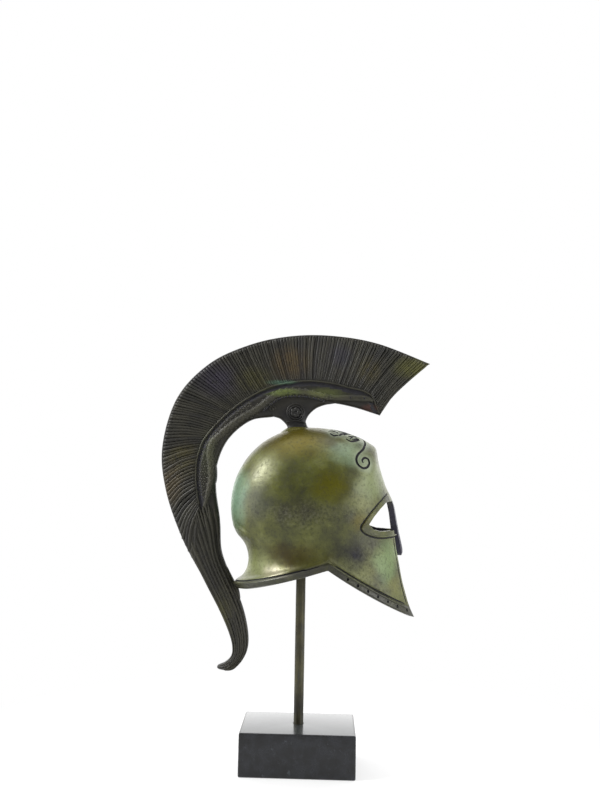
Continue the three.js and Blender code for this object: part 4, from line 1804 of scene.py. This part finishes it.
    def build_body(self) -> Piece:
        """The crest's closed body, to which hair, serpent and tail strands are laid.

        Returns:
            The body.
        """
        parts = [np.linspace(0, 13.4, self.stations - 70), np.linspace(13.4, 15.6, 45)[1:]]
        where = np.concatenate([*parts, 15.6 + 0.4 * np.sin(np.linspace(0, math.pi / 2, 27)[1:])])
        inside = np.linspace(0, 1, self.across)[1:-1]
        share = np.concatenate([[0, 0.006, 0.014], inside, [0.985, 0.995, 1.0]])
        rows, count = len(where), len(share)
        flat = self.edge_point(np.repeat(where, count), np.tile(share, rows))
        over, _, _ = to_path(flat, curve(self.ridge, 120))
        half = self.half_thickness(flat, np.tile(share, rows), over).reshape(rows, count)
        half = half * self.curl_taper(where)[:, None]
        side = flat.reshape(rows, count, 2)
        near = beside(side[..., 0], -half, side[..., 1])
        far = beside(side[..., 0], half, side[..., 1])[:, ::-1]
        rings = np.concatenate([near, far], axis=1)
        ring = rings.shape[1]
        faces = ring_faces(rows, ring)
        faces += [list(range(ring))[::-1], list(range((rows - 1) * ring, rows * ring))]
        body = make_object("crest_body", rings.reshape(-1, 3), faces)
        for material in (self.shop.dark, self.shop.recess):
            body.data.materials.append(material)
        under = over.reshape(rows, count)
        channel = (under < -0.3) & (under > -2.4) & (side[..., 1] > 133)
        sunk = np.concatenate([channel, channel[:, ::-1]], axis=1)[:-1].ravel()
        index = np.zeros(len(body.data.polygons), dtype=np.int32)
        index[: len(sunk)] = sunk
        body.data.polygons.foreach_set("material_index", index)
        return outward(body)

    def hair_paths(self) -> Lines:
        """The strands of combed hair on both faces.

        Returns:
            The strands' paths, from the foot out, and how thick each is along its length.
        """
        dice = np.random.default_rng(self.seed)
        guides = np.array(self.guides, dtype=float)
        dense = np.linspace(0, len(guides) - 1, 400)
        feet, _, tips = (spline(guides[:, k], dense) for k in range(3))
        step = np.linalg.norm(np.diff(feet, axis=0), axis=1) + np.linalg.norm(np.diff(tips, axis=0), axis=1)
        step = step * self.closeness(dense[1:])
        run = np.concatenate([[0], np.cumsum(step)])
        spots = np.interp(np.linspace(0, run[-1], self.strands), run, dense)
        foot, middle, tip = (spline(guides[:, k], spots) for k in range(3))
        rim = spline(self.outer, np.linspace(0, 12, 1500))
        tip = rim[((tip[:, None, :] - rim[None, :, :]) ** 2).sum(axis=2).argmin(axis=1)]
        tip_half = np.linalg.norm(np.gradient(tip, axis=0), axis=1) * 0.54
        foot_half = np.linalg.norm(np.gradient(foot, axis=0), axis=1) * 0.52
        paths: list[Array] = []
        reaches: list[Array] = []
        along = np.linspace(0, 1, self.strand_points)
        plain = [spline([foot[i], middle[i], tip[i]], along * 2) for i in range(self.strands)]
        bodies = [self.thickness_at(flat) for flat in plain]
        for hand in HANDS:
            for i, flat in enumerate(plain):
                sway = 0.16 * np.sin(along * dice.uniform(3, 7) + dice.uniform(0, 6.3)) * along
                way = flat[-1] - flat[0]
                inset = 0.35 + 0.5 * min(1.25, tip_half[i])
                flat = flat - way * (inset / np.linalg.norm(way)) * (along[:, None] ** 6)
                flat = flat + sway[:, None] * np.array([way[1], -way[0]]) / np.linalg.norm(way)
                lift = dice.normal(0, 0.09)
                if dice.random() < self.sunken_share:
                    lift -= self.sunken_depth
                reach = np.interp(along, [0, 1], [foot_half[i], tip_half[i]])
                reach = np.clip(reach, 0.36, 1.25) * np.interp(along, [0, 0.04, 0.94, 1], [0.6, 1, 1, 0.45])
                paths.append(beside(flat[:, 0], hand * (bodies[i] - 0.04 + lift), flat[:, 1]))
                reaches.append(reach * dice.uniform(0.88, 1.12))
        return paths, reaches

    def tail_paths(self) -> Lines:
        """The bold strands that run down the tail to its curl, on both faces.

        Returns:
            The strands' paths and how thick each is along its length.
        """
        paths: list[Array] = []
        reaches: list[Array] = []
        for share, start, end, bold in self.lanes:
            where = np.linspace(start, end, 110)
            drift = 0.012 * np.sin(where * 2.1 + share * 20)
            flat = self.edge_point(where, share + drift)
            chord = self.edge_point(where, np.ones(110)) - self.edge_point(where, np.zeros(110))
            forward = unit(np.gradient(flat, axis=0))
            width = np.abs(chord[:, 0] * forward[:, 1] - chord[:, 1] * forward[:, 0])
            ends = tapered(110, [0, 0.08, 0.96, 1], [0.35, 1, 1, 0.5])
            reach = np.clip(width * 0.12 * 0.54, 0.4, 1.5) * ends * bold
            face = self.tail_half * self.tail_section(share, 0.05) * self.curl_taper(where) - reach * 0.05
            paths += [beside(flat[:, 0], hand * face, flat[:, 1]) for hand in HANDS]
            reaches += [reach, reach]
        for lock in self.locks:
            flat = curve(lock, 30)
            for y in (-1.3, 0.0, 1.3):
                paths.append(beside(flat[:, 0], y, flat[:, 1]))
                reaches.append(tapered(30, [0, 0.7, 0.92, 1], [0.3, 1.0, 0.8, 0.25]))
        return paths, reaches

    def ridge_paths(self) -> Lines:
        """The fine bead at the foot of the hair, on both faces."""
        flat = curve(self.ridge, 170)
        reach = self.ridge_reach * tapered(170, [0, 0.08, 0.95, 1], [0.6, 1, 1, 0.5])
        return [beside(flat[:, 0], hand * self.ridge_face, flat[:, 1]) for hand in HANDS], [reach, reach]

    def serpent_line(self) -> tuple[Array, Array, Array]:
        """The serpent's middle line seen from the side, its girth, and the direction across it."""
        edge = curve(self.serpent_edge, 200)
        forward = unit(np.gradient(edge, axis=0))
        across = beside(-forward[:, 1], forward[:, 0])
        girth = self.serpent_girth(np.linspace(0, 1, 200))
        return edge + across * girth[:, None], girth, across

    def serpent_paths(self) -> Lines:
        """The serpent's body on both faces."""
        line, girth, _ = self.serpent_line()
        reach = girth * self.serpent_swell
        centre = self.serpent_proud + np.minimum(1.05, girth * 0.55) - reach
        return [beside(line[:, 0], hand * centre, line[:, 1]) for hand in HANDS], [reach, reach]

    def serpent_stops(self, span: tuple[float, float], step: float, shift: float = 0.0) -> list[int]:
        """Evenly spaced places on the serpent.

        Args:
            span: the shares of its length at which they start and end.
            step: how far apart they are.
            shift: how much later the first one comes.

        Returns:
            The nearest point of the serpent's line to each.
        """
        line, _, _ = self.serpent_line()
        lengths = np.concatenate([[0], np.cumsum(np.linalg.norm(np.diff(line, axis=0), axis=1))])
        places = np.arange(lengths[-1] * span[0] + shift, lengths[-1] * span[1], step)
        return [int(np.argmin(np.abs(lengths - place))) for place in places]

    def scale_seats(self) -> tuple[Array, Array, Array]:
        """Where the serpent's scales sit.

        Returns:
            Their places, sizes and turns, on both faces.
        """
        line, girth, across = self.serpent_line()
        ridge = curve(self.ridge, 120)
        seats, sizes, turns = [], [], []

        def sit(i: int, flat: Array, y: float, size: float) -> None:
            """Sets a scale on both faces, turned along the serpent."""
            for hand in HANDS:
                seats.append([flat[0], hand * y, flat[1]])
                sizes.append(size)
                turns.append([0, math.atan2(across[i, 0], across[i, 1]), 0])

        for number, i in enumerate(self.serpent_stops(self.scale_span, self.scale_step)):
            for row in self.scale_rows[number % 2]:
                proud = self.serpent_proud + min(1.05, girth[i] * 0.55)
                reach = girth[i] * self.serpent_swell
                y = proud - reach + math.sqrt(max(0.0, reach**2 - (girth[i] * row) ** 2)) - 0.36
                sit(i, line[i] + across[i] * girth[i] * row, y, self.scale_sizes[abs(row) > 0.85])
        for i in self.serpent_stops(self.scallops, self.scallop_step):
            sit(i, line[i] + across[i] * (girth[i] + 0.15), 3.3, self.scallop_size)
        for number, i in enumerate(self.serpent_stops(self.neck_span, self.neck_step)):
            for gap in np.arange(0.9 + 0.6 * (number % 2), 7.0, 1.3):
                flat = line[i] - across[i] * (girth[i] + gap)
                over, _, _ = to_path(flat[None, :], ridge)
                if over[0] > -1.1:
                    break
                sit(i, flat, float(self.thickness_at(flat[None, :])[0]) - 0.22, self.neck_scale)
        places = np.array(seats)
        inner = curve(self.inner, 400)
        clear = np.abs(to_path(places[:, [0, 2]], inner)[0]) > self.scale_clearance
        return places[clear], np.array(sizes)[clear], np.array(turns)[clear]

    def build_scales(self) -> Piece:
        """The serpent's scales, set by the node tree."""
        made = make_seats("serpent_scales", *self.scale_seats())
        values = {"Rings": 5, "Length": 1.25, "Height": 0.8, "Material": self.shop.dark}
        return grow(made, self.shop.boss, values)

    def build_notches(self) -> Piece:
        """The dark notches between the scales along the serpent's lower edge."""
        line, girth, across = self.serpent_line()
        seats = []
        for i in self.serpent_stops(self.scallops, self.scallop_step, self.scallop_step / 2):
            flat = line[i] + across[i] * (girth[i] + 0.45)
            seats += [[flat[0], hand * 3.7, flat[1]] for hand in HANDS]
        made = make_seats("serpent_notches", np.array(seats), np.full(len(seats), self.notch_size))
        values = {"Rings": 5, "Length": 0.9, "Height": 0.7, "Material": self.shop.recess}
        return grow(made, self.shop.boss, values)

    def build_head(self) -> Piece:
        """The serpent's eyes and nostrils."""
        seats = np.array([[x, hand * y, z] for hand in HANDS for x, y, z in self.eyes_and_nostrils])
        eyes = make_seats("serpent_eyes", seats, np.array(self.eye_sizes * 2))
        return grow(eyes, self.shop.boss, {"Rings": 6, "Material": self.shop.recess})

    def build_stem(self) -> Piece:
        """The stem that joins the crest to the crown, and its foot.

        Returns:
            The stem.
        """
        rear, front = Course(self.stem_rear), Course(self.stem_front)
        turns = np.linspace(0, 2 * math.pi, 48, endpoint=False)
        c, s = np.cos(turns), np.sin(turns)
        rings = []
        for z in np.linspace(*self.stem_span, 56):
            low, high = float(rear(z)), float(front(z))
            half = 3.5 + 0.5 * math.exp(-(((z - 179.4) / 0.9) ** 2))
            x = (low + high) / 2 + (high - low) / 2 * np.sign(c) * np.abs(c) ** 0.75
            rings.append(beside(x, half * np.sign(s) * np.abs(s) ** 0.6, z))
        points = np.concatenate(rings)
        faces = ring_faces(len(rings), 48)
        faces += [list(range(48))[::-1], list(range(len(points) - 48, len(points)))]
        return outward(make_object("crest_stem", points, faces))

    def build_rosette(self) -> Piece:
        """The round flower on both faces of the stem.

        Returns:
            Both flowers as one piece.
        """
        x, y, z = self.medallion
        upright = Matrix.Rotation(math.radians(90), 4, "X")
        made = []
        for hand in HANDS:
            seat = make_paths(f"rosette_{hand}", [np.zeros((2, 3))], [np.ones(2)])
            grow(seat, self.shop.flower, {**self.flower, "Material": self.shop.dark})
            seat.data.transform(Matrix.Translation((x * MM, hand * y * MM, z * MM)) @ upright)
            made.append(seat)
        return merged("stem_rosette", made)

    def mouldings(self) -> Lines:
        """The collar arcs below the rosette and the little curls beside it, on both faces.

        Returns:
            Their paths and thicknesses.
        """
        paths, reaches = [], []
        arc = curve(self.stem_arc, 24)
        turns = np.linspace(0, 2.4 * math.pi, 40)
        x, z = self.stem_curl
        coil = 1.9 - 0.2 * turns
        for hand in HANDS:
            paths.append(beside(arc[:, 0], hand * 3.45, arc[:, 1]))
            reaches.append(0.5 * tapered(24, [0, 0.15, 0.85, 1], [0.4, 1, 1, 0.4]))
            paths.append(beside(x + coil * np.cos(turns), hand * 3.3, z + coil * np.sin(turns)))
            reaches.append(np.full(40, 0.35))
        return paths, reaches

    def swept(self, name: str, lines: Lines, sides: int) -> Piece:
        """A set of strands swept by the node tree.

        Args:
            name: the piece's name.
            lines: the paths and their thicknesses.
            sides: how many facets a strand has round it.

        Returns:
            The finished piece.
        """
        values = {"Sides": sides, "Material": self.shop.dark}
        return grow(make_paths(name, *lines), self.shop.sweep, values)

    def dress(self, pieces: Sequence[Piece]) -> None:
        """Gives the pieces their finish, marks where they have worn, and ties them to the model.

        Args:
            pieces: the crest's finished pieces.
        """
        for piece in pieces:
            data = piece.data
            if not data.materials:
                data.materials.append(self.shop.dark)
            out = np.zeros(len(data.vertices) * 3, dtype=np.float32)
            data.vertex_normals.foreach_get("vector", out)
            facing = np.abs(out.reshape(-1, 3)[:, 1])
            mark(piece, "wear", ease(0.6, 1.0, facing) * self.rubbed.get(piece.name, 0.45))
            attach(piece, "crest")


# ---------------------------------------------------------------- studio


@dataclass
class Studio:
    """A pale floor, soft white surroundings, soft lamps and the camera."""

    camera_place: tuple[float, float, float] = (11.86, -448.74, 151.66)
    yaw: float = -1.8
    pitch: float = 5.53
    roll: float = 1.03
    lens: float = 36.63
    near: float = 0.12
    far: float = 2.0
    floor_rings: tuple[float, ...] = (150, 400, 1000, 2500, 9000)
    floor_colour: str = "f4f4f4"
    lamps: tuple[tuple[Any, ...], ...] = (
        ("key", (-610, -170, 560), (-20, -10, 150), (0.11, 0.24), 4.6),
        ("left", (-700, -120, 160), (-20, 0, 130), (0.5, 0.7), 2.4),
        ("right", (640, -330, 220), (30, 0, 130), (0.5, 0.6), 3.6),
        ("top", (0, 60, 760), (0, 0, 150), (0.6, 0.6), 2.0),
    )

    def build_camera(self) -> None:
        """The camera at the usual viewing angle."""
        yaw, pitch, roll = (math.radians(a) for a in (self.yaw, self.pitch, self.roll))
        ahead = Vector((math.sin(yaw) * math.cos(pitch), math.cos(yaw) * math.cos(pitch), math.sin(pitch)))
        right = Vector((math.cos(yaw), -math.sin(yaw), 0))
        up = right.cross(ahead)
        turned_right = right * math.cos(roll) + up * math.sin(roll)
        turned_up = up * math.cos(roll) - right * math.sin(roll)
        data = bpy.data.cameras.new("camera")
        data.lens = self.lens
        data.sensor_width = 36
        data.sensor_fit = "AUTO"
        data.clip_start = 0.01
        data.clip_end = 50
        camera = in_scene("camera", data)
        axes = Matrix((turned_right, turned_up, -ahead)).transposed().to_4x4()
        camera.matrix_world = Matrix.Translation(Vector(self.camera_place) * MM) @ axes
        bpy.context.scene.camera = camera

    def build_floor(self) -> None:
        """The floor, which fades into the white surroundings."""
        turns = np.linspace(0, 2 * math.pi, 96, endpoint=False)
        rings = [beside(r * np.cos(turns), r * np.sin(turns), 0) for r in self.floor_rings]
        faces = [face[::-1] for face in ring_faces(len(rings), 96)] + [list(range(96))]
        floor = make_object("studio_floor", np.concatenate(rings), faces)
        board = ShaderBoard("pale_floor")
        away = board.vector("LENGTH", board.place, (0, 0, 0), "Value")
        plain = {"Base Color": paint(self.floor_colour), "Roughness": 0.7}
        cloth = board.add("ShaderNodeBsdfPrincipled", {}, plain)
        glow = board.add("ShaderNodeEmission", {}, {"Color": (1, 1, 1, 1), "Strength": 1.0})
        share = board.between(away, 0.05, 0.22, 0.55, 1.0)
        mixed = board.add("ShaderNodeMixShader", {}, {0: share, 1: cloth, 2: glow})
        floor.data.materials.append(board.end(mixed))

    def build_light(self) -> None:
        """White surroundings and three soft lamps."""
        world = bpy.data.worlds.new("studio")
        bpy.context.scene.world = world
        world.use_nodes = True
        nodes, links = world.node_tree.nodes, world.node_tree.links
        nodes.clear()
        seen = nodes.new("ShaderNodeLightPath")
        bright = nodes.new("ShaderNodeBackground")
        bright.inputs["Strength"].default_value = 1.0
        soft = nodes.new("ShaderNodeBackground")
        place = nodes.new("ShaderNodeTexCoord")
        parts = nodes.new("ShaderNodeSeparateXYZ")
        depth = nodes.new("ShaderNodeMapRange")
        depth.interpolation_type = "SMOOTHSTEP"
        levels = {"From Min": -0.75, "From Max": 0.9, "To Min": self.near, "To Max": self.far}
        for label, value in levels.items():
            depth.inputs[label].default_value = value
        links.new(place.outputs["Generated"], parts.inputs[0])
        links.new(parts.outputs["Y"], depth.inputs["Value"])
        links.new(depth.outputs[0], soft.inputs["Strength"])
        for node in (bright, soft):
            node.inputs["Color"].default_value = (1, 1, 1, 1)
        mix = nodes.new("ShaderNodeMixShader")
        end = nodes.new("ShaderNodeOutputWorld")
        links.new(seen.outputs["Is Camera Ray"], mix.inputs[0])
        links.new(soft.outputs[0], mix.inputs[1])
        links.new(bright.outputs[0], mix.inputs[2])
        links.new(mix.outputs[0], end.inputs["Surface"])
        for name, stand, aim, size, power in self.lamps:
            lamp = bpy.data.lights.new(name, "AREA")
            lamp.shape = "RECTANGLE"
            lamp.size, lamp.size_y = size
            lamp.energy = power
            made = in_scene(name, lamp)
            made.location = Vector(stand) * MM
            made.rotation_mode = "QUATERNION"
            made.rotation_quaternion = (Vector(aim) - Vector(stand)).to_track_quat("-Z", "Y")

    def build(self) -> None:
        """Everything around the object."""
        bpy.context.scene.view_settings.view_transform = "Standard"
        self.build_camera()
        self.build_floor()
        self.build_light()


# ---------------------------------------------------------------- all together


def main() -> None:
    """Builds and dresses every piece, in order."""
    logging.basicConfig(level=logging.INFO, format="%(message)s")
    Studio().build()
    shop = Workshop()

    stand = MarbleStand(shop)
    stand.dress(stand.build_block(), stand.build_rod())

    helmet = Helmet(shop)
    shell = helmet.build_shell()
    helmet.carve_openings(shell)
    helmet.dress([shell, helmet.build_beads(), helmet.build_collar()])

    crest = Crest(shop)
    crest.dress(
        [
            crest.build_body(),
            crest.build_stem(),
            crest.swept("crest_hair", crest.hair_paths(), sides=6),
            crest.swept("crest_tail", crest.tail_paths(), sides=10),
            crest.swept("crest_ridge", crest.ridge_paths(), sides=8),
            crest.swept("serpent_body", crest.serpent_paths(), sides=20),
            crest.swept("stem_mouldings", crest.mouldings(), sides=8),
            crest.build_scales(),
            crest.build_notches(),
            crest.build_head(),
            crest.build_rosette(),
        ]
    )


if __name__ == "__main__":
    main()
